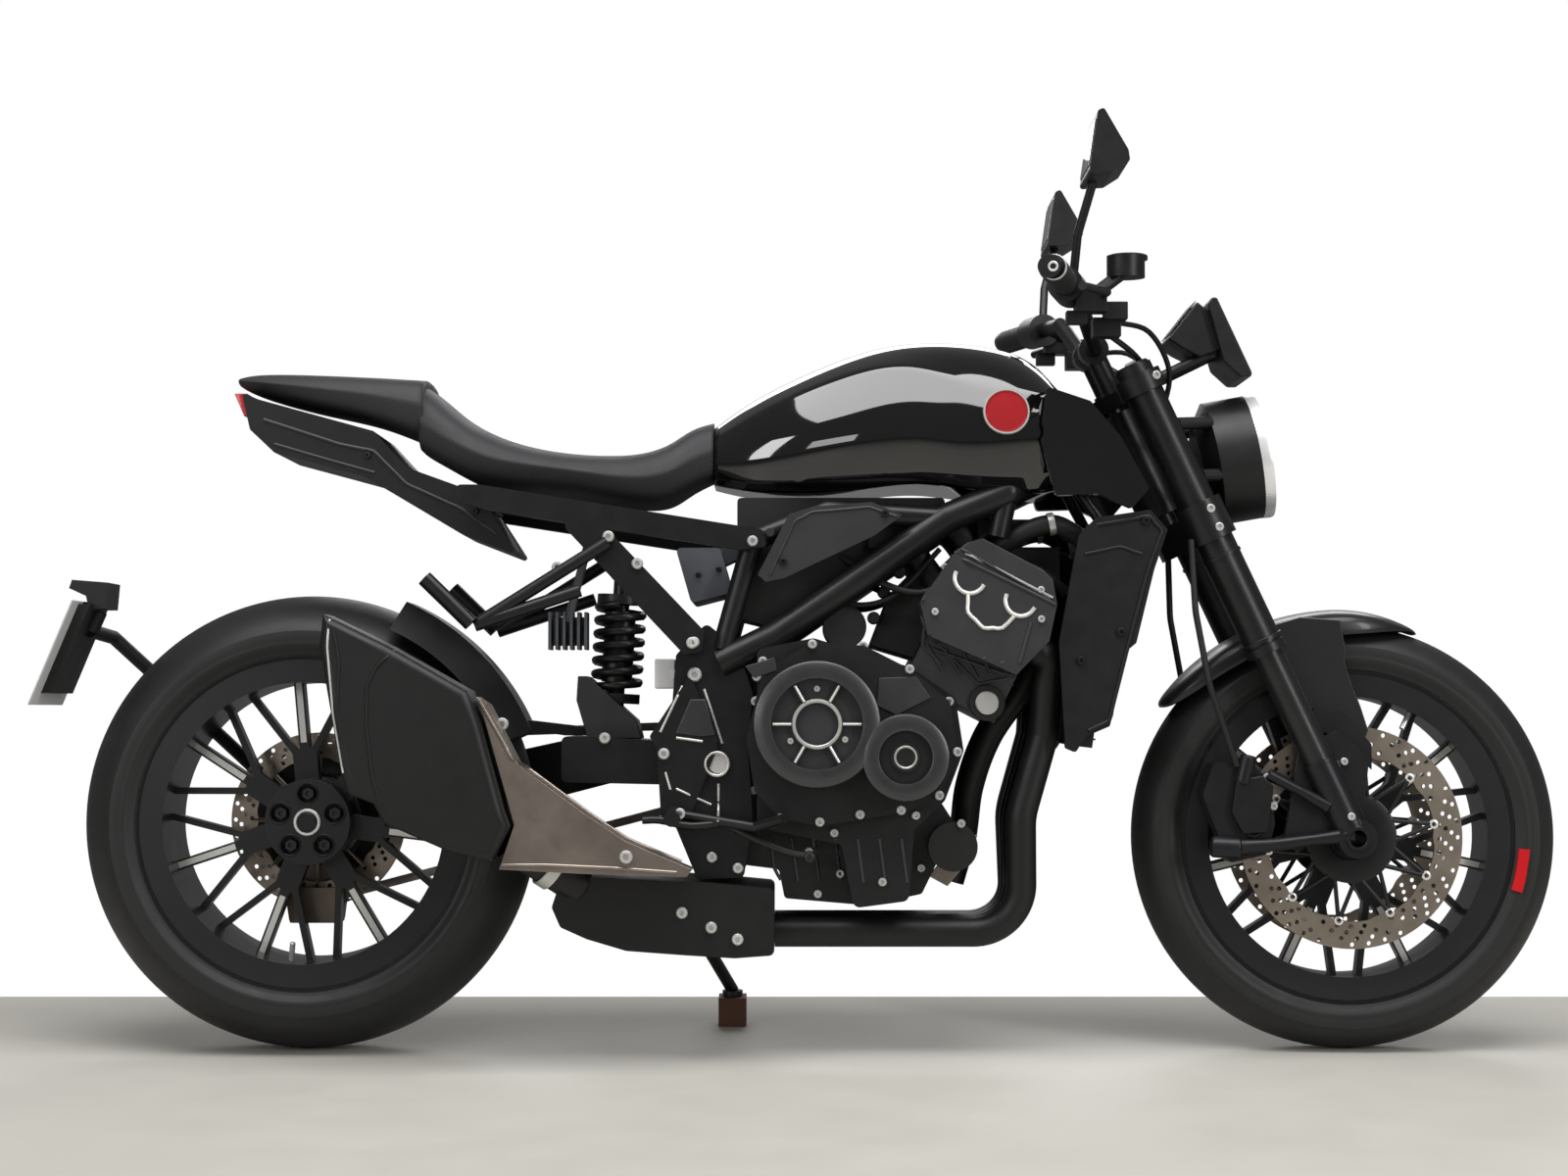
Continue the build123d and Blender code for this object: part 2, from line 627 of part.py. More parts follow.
def stand_lug():
    """The cheek and pin under the left plate that carry the side stand."""
    pivot, axis = Vector(STAND_PIVOT), stand_axis()
    near = STAND_EYE_HALF + RUNNING_FIT
    cheek = rod(pivot + near * axis, pivot + (near + 14) * axis, STAND_EYE_RADIUS)
    web = rod(pivot + (near + 11) * axis, (-112, PLATE_INNER_Y + PLATE_WALL / 2, 266), 9)
    pin = rod(pivot - (near + 6) * axis, pivot + near * axis, STAND_PIN_RADIUS)
    head = rod(pivot - (near + 6) * axis, pivot - near * axis, STAND_PIN_RADIUS + 5)
    return cheek + web + pin + head


@cache
def subframe():
    """Two cast side rails with their braces, joined by cross tubes."""
    rail = [(-470, 786), (-440, 786), (-50, 724), (-44, 700), (-80, 696), (-428, 750), (-475, 764)]
    brace = [(-330, 762), (-290, 752), (-130, 584), (-134, 556), (-158, 552), (-320, 724)]
    low = PLATE_INNER_Y + PLATE_WALL + 8
    side = slab(rail, low, low + SUBFRAME_WALL, 6) + slab(brace, low, low + SUBFRAME_WALL, 6)
    whole = both_sides(side)
    for x, z in ((-440, 768), SHOCK_TOP):
        whole += rod((x, -low - 2, z), (x, low + 2, z), SHOCK_PIN_RADIUS)
    return whole


# Engine


def chain_room():
    """The pocket in the cases round the chain's front run."""
    return chain_loop(CHAIN_HEIGHT + 5, CHAIN_Y - CHAIN_WIDTH, CHAIN_Y + CHAIN_WIDTH)


@cache
def crankcase():
    points = [
        (-58, 560), (20, 575), (150, 536), (215, 492), (226, 420), (200, 352), (158, 312),
        (150, 215), (75, 205), (58, 292), (-58, 316),
    ]
    case = slab(points, -CASE_HALF_WIDTH, CASE_HALF_WIDTH, 10)
    case += slab([(-78, 540), (-50, 540), (-50, 330), (-78, 340)], -SUMP_HALF_WIDTH, SUMP_HALF_WIDTH)
    sump = [(-92, 340), (-92, 264), (-28, 256), (-20, 216), (96, 206), (170, 222), (214, 312), (190, 350)]
    case += slab(sump, -SUMP_HALF_WIDTH, SUMP_HALF_WIDTH, 6)
    case -= chain_room() + spars(FIT)
    x, z = FRONT_SPROCKET_X, FRONT_SPROCKET_Z
    radius = FRONT_SPROCKET_RADIUS + CHAIN_GAP - FIT
    sprocket = disc(x, z, radius, CHAIN_Y - SPROCKET_WALL / 2, CHAIN_Y + SPROCKET_WALL / 2)
    return case + sprocket + disc(x, z, 16, CASE_HALF_WIDTH - 20, CHAIN_Y)


@cache
def cylinders():
    """The cylinder block and head, leaned forward over the crankcase."""
    block = [(175, 580), (300, 524), (268, 458), (147, 520)]
    head = [(165, 622), (212, 690), (352, 621), (341, 570), (296, 524), (175, 578)]
    whole = slab(block, -CYLINDER_HALF_WIDTH, CYLINDER_HALF_WIDTH)
    whole += slab(head, -HEAD_HALF_WIDTH, HEAD_HALF_WIDTH)
    return whole - crankcase()


def head_cover():
    outline = [(212, 690), (229, 704), (251, 710), (331, 668), (346, 655), (352, 621)]
    return slab([(x, z + FIT) for x, z in outline], -HEAD_HALF_WIDTH + 4, HEAD_HALF_WIDTH - 4)


def case_cover_outline():
    return [
        (-72, 437), (-61, 365), (-25, 328), (29, 318), (83, 327), (138, 336), (191, 357),
        (217, 418), (206, 488), (152, 532), (89, 564), (21, 570), (-50, 530),
    ]


def right_cover():
    """The right engine cover with its small round starter cover."""
    y = -CASE_HALF_WIDTH
    whole = slab(case_cover_outline(), y - COVER_WALL, y, 10)
    face = -CLUTCH_OUTER_Y - 2
    whole += disc(STARTER_X, STARTER_Z, STARTER_RADIUS, face, y)
    whole -= disc(STARTER_X, STARTER_Z, 36, face, face + 6)
    return whole + disc(STARTER_X, STARTER_Z, 20, face + 2, face + 8)


def clutch_cover():
    """The round clutch cover with a recessed face of six spokes."""
    y = -CASE_HALF_WIDTH - COVER_WALL
    outer = -CLUTCH_OUTER_Y
    whole = disc(CRANK_X, CRANK_Z, CLUTCH_RADIUS, outer, y)
    whole -= disc(CRANK_X, CRANK_Z, 62, outer, outer + 10)
    ring = disc(CRANK_X, CRANK_Z, 35, outer + 3, outer + 10) - disc(CRANK_X, CRANK_Z, 29, outer, outer + 10)
    spoke_bar = Pos(48, outer + 6.5, 0) * Box(30, 7, 6)
    whole += ring
    for index in range(6):
        whole += Pos(CRANK_X, 0, CRANK_Z) * Rot(0, index * 60, 0) * spoke_bar
    return whole - disc(STARTER_X, STARTER_Z, STARTER_RADIUS + FIT, outer - 4, y + 1)


def left_cover():
    """The left engine cover over the alternator and the front sprocket."""
    y = CASE_HALF_WIDTH
    whole = disc(CRANK_X + 40, CRANK_Z - 10, 82, y, y + 48)
    whole += slab(case_cover_outline(), y, y + 16, 10)
    sprocket_disc = disc(FRONT_SPROCKET_X, FRONT_SPROCKET_Z, 60, y, y + 30)
    return whole + sprocket_disc - chain_room()


def oil_filter():
    neck = slab([(165, 330), (196, 350), (214, 322), (190, 300)], -100, -60)
    return disc(212, 288, 34, -126, -30) + neck - crankcase()


@cache
def airbox():
    """The intake box between the spars with its throttle tubes into the head."""
    outline = [(-86, 772), (-86, 604), (-20, 588), (60, 648), (120, 690), (190, 725), (206, 772)]
    whole = slab(outline, -AIRBOX_HALF_WIDTH, AIRBOX_HALF_WIDTH, 6) - spars(FIT)
    for index in range(4):
        y = (index - 1.5) * THROTTLE_SPACING
        whole += rod((190, y, 655), (140, y, 722), THROTTLE_RADIUS)
    return whole - cylinders() - main_frame() - electrics()


def starter_motor():
    return disc(64, 592, 30, -AIRBOX_HALF_WIDTH, 20) - crankcase()


# Radiator and exhaust


def radiator():
    """The tilted core between its end tanks, under two hangers of the frame."""
    core = slab([(372, 430), (402, 424), (446, 726), (412, 736)], -148, 148)
    return core - main_frame()


def radiator_shrouds():
    points = [
        (384, 716), (408, 740), (482, 751), (506, 724), (487, 668), (462, 568), (450, 558),
        (425, 454), (392, 440), (378, 418), (364, 424), (356, 569),
    ]
    low = 148 + FIT
    return both_sides(slab(points, low, low + 14, 4))


def headers():
    """Four pipes from the head down and back into the chamber."""
    whole = Part()
    for index in range(4):
        y = (index - 1.5) * PORT_SPACING
        bottom_y = (index - 1.5) * (HEADER_RADIUS * 2 + 3) - 30
        points = [
            (312, y, 572), (346, y, 546), (338, y * 0.9, 440), (306, y * 0.7 + bottom_y * 0.3, 330),
            (308, bottom_y, 170), (-34 + FIT, bottom_y, 170),
        ]
        whole += bent_tube(points, [20, 40, 90, 66], HEADER_RADIUS)
    return whole - cylinders()


@cache
def exhaust_chamber():
    """The box under the engine into which the pipes run."""
    outline = [
        (-324, 250), (-338, 207), (-326, 180), (-290, 164), (-236, 148), (-155, 142),
        (-88, 138), (-34, 142), (-34, 232), (-120, 240),
    ]
    return slab(outline, -160, 84, 8)


@cache
def muffler():
    """The upswept silencer on the right with its flat end."""
    outline = [
        (-642, 606), (-552, 562), (-446, 502), (-429, 460), (-396, 342), (-388, 320), (-412, 273),
        (-470, 286), (-558, 324), (-572, 350), (-604, 362), (-616, 390), (-628, 460), (-646, 560),
    ]
    body = slab(outline, -MUFFLER_OUTER_Y, -MUFFLER_INNER_Y)
    long_edges = body.edges().filter_by(Axis.Y, reverse=True)
    return fillet(long_edges, 14)


def link_pipe():
    """The pipe from the chamber up into the silencer."""
    return rod(*LINK_PIPE, 27) - exhaust_chamber() - muffler()


def heat_shield():
    outline = [
        (-436, 494), (-420, 484), (-378, 402), (-288, 336), (-234, 300), (-144, 262),
        (-152, 252), (-288, 256), (-404, 262), (-384, 322), (-424, 462),
    ]
    low = -MUFFLER_OUTER_Y + 20
    return slab(outline, low, low + 60) - rod(*LINK_PIPE, 27 + FIT)


# Bodywork


def section(x, half_width, bottom, top, waist, crown):
    """A closed smooth outline across the machine: a waist height and a crown fullness."""
    side_z = bottom + waist * (top - bottom)
    shoulder_y = half_width * crown
    shoulder_z = top - (1 - crown) * (top - side_z)
    points = [
        (x, -half_width * 0.7, bottom), (x, -half_width, side_z), (x, -shoulder_y, shoulder_z),
        (x, 0, top), (x, shoulder_y, shoulder_z), (x, half_width, side_z), (x, half_width * 0.7, bottom),
    ]
    return make_face([Spline(*points), Line(points[-1], points[0])])


@cache
def fuel_tank():
    stations = [
        (-119, 66, 790, 872, 0.40, 0.70), (-40, 96, 782, 932, 0.40, 0.72), (50, 128, 780, 974, 0.42, 0.72),
        (140, 158, 784, 998, 0.55, 0.72), (220, 172, 784, 1001, 0.60, 0.72), (310, 172, 776, 992, 0.55, 0.70),
        (392, 150, 800, 930, 0.50, 0.70),
    ]
    whole = loft([section(*station) for station in stations])
    return whole - fork_sweep() - spars(FIT) - radiator_hangers(FIT)


def fork_sweep():
    """The room that the fork tubes and upper yoke sweep from lock to lock."""
    lock = math.radians(STEERING_LOCK)
    collar = FORK_TUBE_RADIUS + YOKE_WALL + MOVING_GAP
    back = FORK_OFFSET * math.cos(lock) - FORK_HALF_SPREAD * math.sin(lock) - collar
    half = math.hypot(FORK_OFFSET, FORK_HALF_SPREAD) + collar
    room = Box(400, 2 * half, 400, align=(Align.MIN, Align.CENTER, Align.MIN))
    return STEERING * Pos(back, 0, LOWER_YOKE_LOW) * room


def tank_panels():
    """Black panels at the tank's front flanks, outside the fork's sweep."""
    outline = [(330, 850), (352, 770), (410, 772), (456, 752), (480, 780), (442, 850), (400, 900), (340, 920)]
    return both_sides(slab(outline, 152, 172, 6)) - fuel_tank()


def side_covers():
    outline = [(-57, 662), (-14, 745), (20, 756), (100, 762), (142, 744), (104, 716), (-21, 657), (-46, 652)]
    low = SPAR_HALF_SPREAD + SPAR_RADIUS + FIT
    whole = slab(outline, low, low + 12)
    for x, z in ((40, 752), (-40, 721)):
        whole += disc(x, z, 6, SPAR_HALF_SPREAD, low + 2)
    return both_sides(whole) - spars(FIT)


@cache
def rider_seat():
    stations = [
        (-520, 122, 826, 924, 0.45, 0.75), (-450, 136, 792, 872, 0.45, 0.80),
        (-380, 146, 784, 848, 0.45, 0.82), (-280, 148, 772, 835, 0.45, 0.82),
        (-215, 120, 766, 839, 0.45, 0.78), (-160, 92, 768, 866, 0.45, 0.72), (-119 - FIT, 76, 792, 884, 0.45, 0.66),
    ]
    return loft([section(*station) for station in stations])


@cache
def pillion_seat():
    stations = [
        (-786, 74, 928, 944, 0.5, 0.8), (-740, 96, 914, 953, 0.45, 0.8), (-660, 112, 894, 949, 0.45, 0.82),
        (-590, 120, 878, 945, 0.45, 0.82), (-520 - FIT, 124, 850, 940, 0.45, 0.8),
    ]
    return loft([section(*station) for station in stations])


def tail_cowl():
    """The cowl under the seats, from the tail lamp to the subframe."""
    outline = [
        (-776, 918), (-752, 908), (-592, 864), (-545, 813), (-470, 786), (-430, 752), (-390, 690),
        (-470, 721), (-566, 778), (-604, 800), (-648, 812), (-730, 834), (-764, 866),
    ]
    whole = slab(outline, -112, 112, 4) - rider_seat() - pillion_seat() - subframe()
    return whole - tail_light()


def tail_light():
    outline = [(-796, 922), (-778, 922), (-766, 895), (-782, 890)]
    return slab(outline, -58, 58)


def hugger():
    """The guard close over the front of the rear tyre, on the swingarm."""
    inner = REAR_TYRE_RADIUS + 16
    section_points = fender_outline(inner, 4, REAR_TYRE_WIDTH / 2 + 4, 40)
    foot = REAR_AXLE + Vector(inner + 2, 0, 0).rotate(Axis.Y, -HUGGER_FIRST_ANGLE - 2)
    seat = SWINGARM_TOP + FIT
    tab = slab([
        (foot.X, foot.Z + 6), (-300, seat + 12), (-300, seat), (-330, seat), (foot.X, foot.Z - 8),
    ], -25, 25)
    guard = fender_arc(REAR_AXLE, section_points, HUGGER_FIRST_ANGLE, 66) + tab
    return guard - disc(REAR_AXLE.X, REAR_AXLE.Z, inner - 2, -30, 30)


def behind_tyre(points):
    """Points given from the rear axle."""
    return [(REAR_AXLE.X + x, REAR_AXLE.Z + z) for x, z in points]


def plate_bracket():
    """The arm from the swingarm's hub round the tyre to the number plate and its lamp."""
    start = REAR_AXLE + Vector(-50, 118, 24)
    bend = REAR_AXLE + Vector(-230, 118, 190)
    corner = REAR_AXLE + Vector(-300, 70, 262)
    end = REAR_AXLE + Vector(-318, 0, 270)
    arm = chain_of_rods([start, bend, corner, end], 10)
    board = slab(behind_tyre([(-374, 181), (-322.5, 306), (-305, 306), (-356, 181)]), -60, 60)
    lamp_outline = [(-340, 329), (-336, 341), (-285, 337), (-288, 300), (-312, 300), (-316, 318)]
    lamp = slab(behind_tyre(lamp_outline), -40, 40)
    neck = rod(end, REAR_AXLE + Vector(-306, 0, 298), 12)
    return arm + board + lamp + neck - swingarm() - number_plate()


def number_plate():
    return slab(behind_tyre([(-382, 165), (-322, 311), (-320, 310), (-380, 164)]), -100, 100)


# Swingarm, shock and drive


@cache
def swingarm():
    """A one-sided arm: a cross box behind the pivot, a beam and the hub on the left."""
    inner = PLATE_INNER_Y - 8
    top = SWINGARM_TOP
    box = [(-330, top), (-150, 432), (-100, 420), (-100, 386), (-150, 372), (-330, 376)]
    whole = slab(box, -inner + 4, inner, 8)
    whole += disc(PIVOT_X, PIVOT_Z, 29, -inner, inner)
    whole -= disc(PIVOT_X, PIVOT_Z, PIVOT_RADIUS, -inner, inner)
    ax, az = REAR_AXLE.X, REAR_AXLE.Z
    beam = [(-250, 452), (-250, 376), (ax + 60, az - 42), (ax, az - 52), (ax, az + 52), (ax + 60, az + 50)]
    whole += slab(beam, 100, 132)
    whole += disc(ax, az, 66, 70, 132)
    x, z = SHOCK_FOOT
    for y in (-30, 18):
        whole += slab([(x - 20, z + 14), (x + 20, z + 14), (x + 34, 430), (x - 34, 430)], y, y + 12)
    whole += disc(x, z, 8, -30, 30)
    return whole - disc(ax, az, SPINDLE_RADIUS + RUNNING_FIT, 60, 140)


@cache
def pivot_bolt():
    """The swingarm's pivot through both plates."""
    reach = PLATE_INNER_Y + PLATE_WALL + 6
    return disc(PIVOT_X, PIVOT_Z, PIVOT_RADIUS, -reach, reach)


def shock():
    """The damper and its spring seats, from the swingarm's pin to the frame's cross tube."""
    low, high = Vector(SHOCK_FOOT[0], 0, SHOCK_FOOT[1]), Vector(SHOCK_TOP[0], 0, SHOCK_TOP[1])
    run = (high - low).normalized()
    damper = rod(low, high, 12) + rod(low + 60 * run, high - 60 * run, 22)
    for seat in (low + 30 * run, high - 50 * run):
        damper += rod(seat, seat + 14 * run, 34)
    damper += disc(high.X, high.Z, SHOCK_PIN_RADIUS + 8, -14, 14) + disc(low.X, low.Z, 16, -14, 14)
    damper -= disc(high.X, high.Z, SHOCK_PIN_RADIUS + FIT, -14, 14)
    return damper - disc(low.X, low.Z, 8 + FIT, -14, 14)


def chain_loop(grow, y_low, y_high):
    front = Pos(FRONT_SPROCKET_X, FRONT_SPROCKET_Z) * Circle(FRONT_SPROCKET_RADIUS + CHAIN_GAP + grow)
    rear = Pos(REAR_AXLE.X, REAR_AXLE.Z) * Circle(REAR_SPROCKET_RADIUS + CHAIN_GAP + grow)
    face = make_hull(front.edges() + rear.edges())
    return Pos(0, y_high, 0) * Rot(90, 0, 0) * extrude(face, y_high - y_low)


def chain():
    low, high = CHAIN_Y - CHAIN_WIDTH / 2, CHAIN_Y + CHAIN_WIDTH / 2
    return chain_loop(CHAIN_HEIGHT, low, high) - chain_loop(0, low, high)


def rear_caliper():
    """The caliper under the rear disc, hung from the hub."""
    ax, az = REAR_AXLE.X, REAR_AXLE.Z
    outline = [(ax - 44, az - 96), (ax + 40, az - 96), (ax + 34, az - 146), (ax - 36, az - 146)]
    gap = DISC_THICKNESS / 2 + 4
    inner_half = slab(outline, 30, REAR_DISC_Y - gap, 6)
    outer_half = slab(outline, REAR_DISC_Y + gap, 92, 6)
    bridge = slab(outline, 34, 88) - disc(ax, az, REAR_DISC_RADIUS + MOVING_GAP, 20, 100)
    hanger = slab([(ax - 30, az - 60), (ax + 30, az - 60), (ax + 24, az - 100), (ax - 24, az - 100)], 72, 84)
    return inner_half + outer_half + bridge + hanger - swingarm()


# Rests and stand


def footrest(low):
    """A left rest on its plate with a heel guard above and a pedal ahead of it."""
    guard = slab([(-150, 525), (-110, 430), (-196, 424), (-206, 440)], low, low + 8, 4)
    hanger = slab([(-196, 430), (-110, 430), (-150, 330), (-176, 318), (-190, 330)], low, low + 8, 4)
    peg = rod((-172, low + 2, 334), (-172, low + 96, 330), 11)
    lever = chain_of_rods([(-172, low + 14, 334), (-60, low + 30, 316), (-20, low + 70, 330)], 7)
    return guard + hanger + peg + lever


def rider_footrests():
    """The right rest on the frame's plate, the left one on bosses that clear the chain."""
    frame_face = PLATE_INNER_Y + PLATE_WALL + FIT
    right = mirror(footrest(frame_face), about=Plane.XZ)
    left_face = CHAIN_Y + CHAIN_WIDTH / 2 + MOVING_GAP
    left = footrest(left_face)
    for x, z in ((-150, 505), (-140, 398)):
        left += rod((x, frame_face, z), (x, left_face + 2, z), 8)
    return left + right - pivot_bolt()


def passenger_footrests():
    """Brackets behind the subframe's braces with folded rests."""
    y = PLATE_INNER_Y + PLATE_WALL + 8 + SUBFRAME_WALL + 9 + FIT
    upper = rod((-262, y, 706), (-444, y, 592), 9)
    lower = rod((-300, y, 640), (-444, y, 592), 9)
    peg = rod((-512, y + 10, 656), (-448, y + 10, 594), 11)
    return both_sides(upper + lower + peg)


def electrics():
    """The grey boxes ahead of the shock and the finned regulator behind it."""
    box = slab([(-172, 702), (-110, 702), (-92, 640), (-150, 625)], -96, 96, 6)
    tab = slab([(-120, 702), (-60, 722), (-60, 702), (-106, 680)], -30, 30)
    box += tab - rod((-64, -SPAR_HALF_SPREAD, 711), (-64, SPAR_HALF_SPREAD, 711), 12 + FIT)
    fins = Part()
    for index in range(6):
        x = -348 + index * 10
        fins += slab([(x, 560), (x + 4, 560), (x + 4, 612), (x, 612)], -110, -60)
    back = slab([(-348, 566), (-294, 566), (-294, 606), (-348, 606)], -74, -60)
    rail_y = PLATE_INNER_Y + PLATE_WALL + 8
    stay = rod((-321, -100, 600), (-292, FIT - rail_y, 702), 6)
    return box + fins + back + stay - subframe()


def stand_axis():
    """The stand's hinge, square to the leg when it is down and when it is stowed."""
    leg = Vector(stand_foot()) - Vector(STAND_PIVOT)
    return leg.cross(Vector(STAND_STOWED)).normalized()


def stand_foot():
    """The foot's centre in the upright machine, on the block once leaned."""
    lean = math.radians(LEAN)
    height = BLOCK_HEIGHT + FIT + STAND_FOOT_WALL
    y = BLOCK_Y * math.cos(lean) - height * math.sin(lean)
    z = BLOCK_Y * math.sin(lean) + height * math.cos(lean)
    return (BLOCK_X, y, z)


def side_stand():
    """The leg from its pivot to a foot that lies flat on the block."""
    leg = chain_of_rods([STAND_PIVOT, STAND_KNEE, stand_foot()], STAND_RADIUS)
    axis = stand_axis()
    pivot = Vector(STAND_PIVOT)
    half = STAND_EYE_HALF
    eye = rod(pivot - half * axis, pivot + half * axis, STAND_EYE_RADIUS)
    bore_radius = STAND_PIN_RADIUS + RUNNING_FIT
    around = rod(pivot - (half + 20) * axis, pivot - half * axis, STAND_EYE_RADIUS)
    hole = rod(pivot - (half + 20) * axis, pivot + (half + 20) * axis, bore_radius)
    upright = Vector(0, -math.sin(math.radians(LEAN)), math.cos(math.radians(LEAN)))
    level = Plane(origin=stand_foot(), z_dir=upright)
    foot = level * Pos(0, 0, -STAND_FOOT_WALL) * Cylinder(STAND_FOOT_RADIUS, STAND_FOOT_WALL, align=BASE)
    under = level * Pos(0, 0, -STAND_FOOT_WALL - 60) * Box(200, 200, 60, align=BASE)
    return leg - around + eye + foot - under - hole


def stand_block():
    return Pos(BLOCK_X, BLOCK_Y, 0) * Box(BLOCK_LENGTH, BLOCK_WIDTH, BLOCK_HEIGHT, align=BASE)


BODIES = {
    "chassis": [
        main_frame, subframe, crankcase, cylinders, head_cover, right_cover, clutch_cover, left_cover,
        airbox, starter_motor, oil_filter, radiator, radiator_shrouds, headers, exhaust_chamber, muffler,
        link_pipe, heat_shield, fuel_tank, tank_panels, side_covers, rider_seat, pillion_seat, tail_cowl,
        tail_light, hugger, plate_bracket, number_plate, swingarm, pivot_bolt, shock, chain,
        rear_caliper, rider_footrests, passenger_footrests, electrics,
    ],
    "fork": [
        fork_tubes, fork_sliders, fork_bottoms, steering_yokes, handlebar, grips, controls, mirrors,
        headlight, headlight_lens, instrument, front_fender, front_calipers, brake_hoses,
    ],
    "front_wheel": [front_rim, front_tyre, front_discs],
    "rear_wheel": [rear_rim, rear_tyre, rear_disc, rear_sprocket],
    "side_stand": [side_stand],
}
LEANED = Rot(-LEAN, 0, 0)


def model():
    """Every piece by name, leaned, with the middle of its box's floor as the origin."""
    pieces = {make.__name__: LEANED * make() for makers in BODIES.values() for make in makers}
    pieces["stand_block"] = stand_block()
    box = Compound(children=[Compound(piece.solids()) for piece in pieces.values()]).bounding_box()
    shift = Pos(-(box.min.X + box.max.X) / 2, -(box.min.Y + box.max.Y) / 2, -box.min.Z)
    return {name: shift * piece for name, piece in pieces.items()}, shift


def main():
    os.makedirs("parts", exist_ok=True)
    for name, piece in model()[0].items():
        export_step(piece, os.path.join("parts", name + ".step"))


if __name__ == "__main__":
    main()
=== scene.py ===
import json
import math

import bmesh
import bpy
from mathutils import Matrix, Vector
from mathutils.bvhtree import BVHTree


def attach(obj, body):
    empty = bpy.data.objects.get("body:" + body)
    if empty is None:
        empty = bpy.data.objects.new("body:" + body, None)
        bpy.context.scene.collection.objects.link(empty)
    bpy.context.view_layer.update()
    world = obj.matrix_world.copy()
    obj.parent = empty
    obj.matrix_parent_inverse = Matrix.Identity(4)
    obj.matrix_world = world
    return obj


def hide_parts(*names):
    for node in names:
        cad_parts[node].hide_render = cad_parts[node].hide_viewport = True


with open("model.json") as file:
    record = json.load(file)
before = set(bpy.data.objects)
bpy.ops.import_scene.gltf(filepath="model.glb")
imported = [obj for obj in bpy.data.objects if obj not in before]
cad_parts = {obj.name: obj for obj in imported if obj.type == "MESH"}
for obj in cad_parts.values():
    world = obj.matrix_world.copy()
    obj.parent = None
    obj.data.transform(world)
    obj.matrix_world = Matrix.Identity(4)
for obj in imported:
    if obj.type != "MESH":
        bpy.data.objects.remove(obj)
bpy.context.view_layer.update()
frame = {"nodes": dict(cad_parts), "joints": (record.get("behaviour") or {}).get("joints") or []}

# A naked roadster motorcycle on its side stand, in a plain studio.
# Shapes are given in the upright machine's millimetres, as the solids are: X forward,
# Y to the left, Z up. on_machine() carries them to the leaned machine in metres.

MM = 0.001
FRONT_AXLE = Vector((770, 0, 299))
REAR_AXLE = Vector((-690, 0, 319))
RIGHT = -1
TO_RIGHT = (0, RIGHT, 0)
TO_LEFT = (0, -RIGHT, 0)
RAKE = math.radians(25)
FORK_FORWARD = Vector((math.cos(RAKE), 0, math.sin(RAKE)))
FORK_UP = Vector((-math.sin(RAKE), 0, math.cos(RAKE)))
FORK_OFFSET = 36
FORK_ORIGIN = FRONT_AXLE - FORK_OFFSET * FORK_FORWARD
FORK_HALF_SPREAD = 105

joints = {joint["name"]: joint for joint in frame["joints"]}


def machine_matrix():
    """From the upright machine's millimetres to the row frame, read off the front axle."""
    left = Vector(joints["front_wheel_spin"]["axis"]).normalized()
    forward = Vector((1, 0, 0))
    up = forward.cross(left)
    turn = Matrix((forward, left, up)).transposed()
    axle = Vector(joints["front_wheel_spin"]["pos_m"])
    place = Matrix.Translation(axle - turn @ (FRONT_AXLE * MM))
    return place @ turn.to_4x4() @ Matrix.Scale(MM, 4)


MACHINE = machine_matrix()


def on_machine(point):
    return MACHINE @ Vector(point)


def on_fork(forward, left, along):
    """A point ahead of the steering axis, to its left and along it."""
    return FORK_ORIGIN + forward * FORK_FORWARD + Vector((0, left, 0)) + along * FORK_UP


# Materials


def nodes_of(material):
    """A material's node tree and its shader."""
    material.use_nodes = True
    tree = material.node_tree
    return tree, tree.nodes["Principled BSDF"]


def ramp(tree, factor, low, high):
    """A factor carried to between two values."""
    node = tree.nodes.new("ShaderNodeMapRange")
    node.inputs["To Min"].default_value = low
    node.inputs["To Max"].default_value = high
    tree.links.new(factor, node.inputs["Value"])
    return node.outputs["Result"]


def noise_texture(tree, scale, detail=4):
    place = tree.nodes.new("ShaderNodeTexCoord")
    texture = tree.nodes.new("ShaderNodeTexNoise")
    texture.inputs["Scale"].default_value = scale
    texture.inputs["Detail"].default_value = detail
    tree.links.new(place.outputs["Object"], texture.inputs["Vector"])
    return texture.outputs["Fac"]


def bump(tree, shader, height, strength, distance):
    node = tree.nodes.new("ShaderNodeBump")
    node.inputs["Strength"].default_value = strength
    node.inputs["Distance"].default_value = distance
    tree.links.new(height, node.inputs["Height"])
    tree.links.new(node.outputs["Normal"], shader.inputs["Normal"])


def mottle(tree, shader, colour, spread, scale):
    """A base colour that drifts a little over the surface."""
    mix = tree.nodes.new("ShaderNodeMix")
    mix.data_type = "RGBA"
    mix.inputs["A"].default_value = (*[c * (1 - spread) for c in colour], 1)
    mix.inputs["B"].default_value = (*[min(1, c * (1 + spread)) for c in colour], 1)
    tree.links.new(noise_texture(tree, scale), mix.inputs["Factor"])
    tree.links.new(mix.outputs["Result"], shader.inputs["Base Color"])


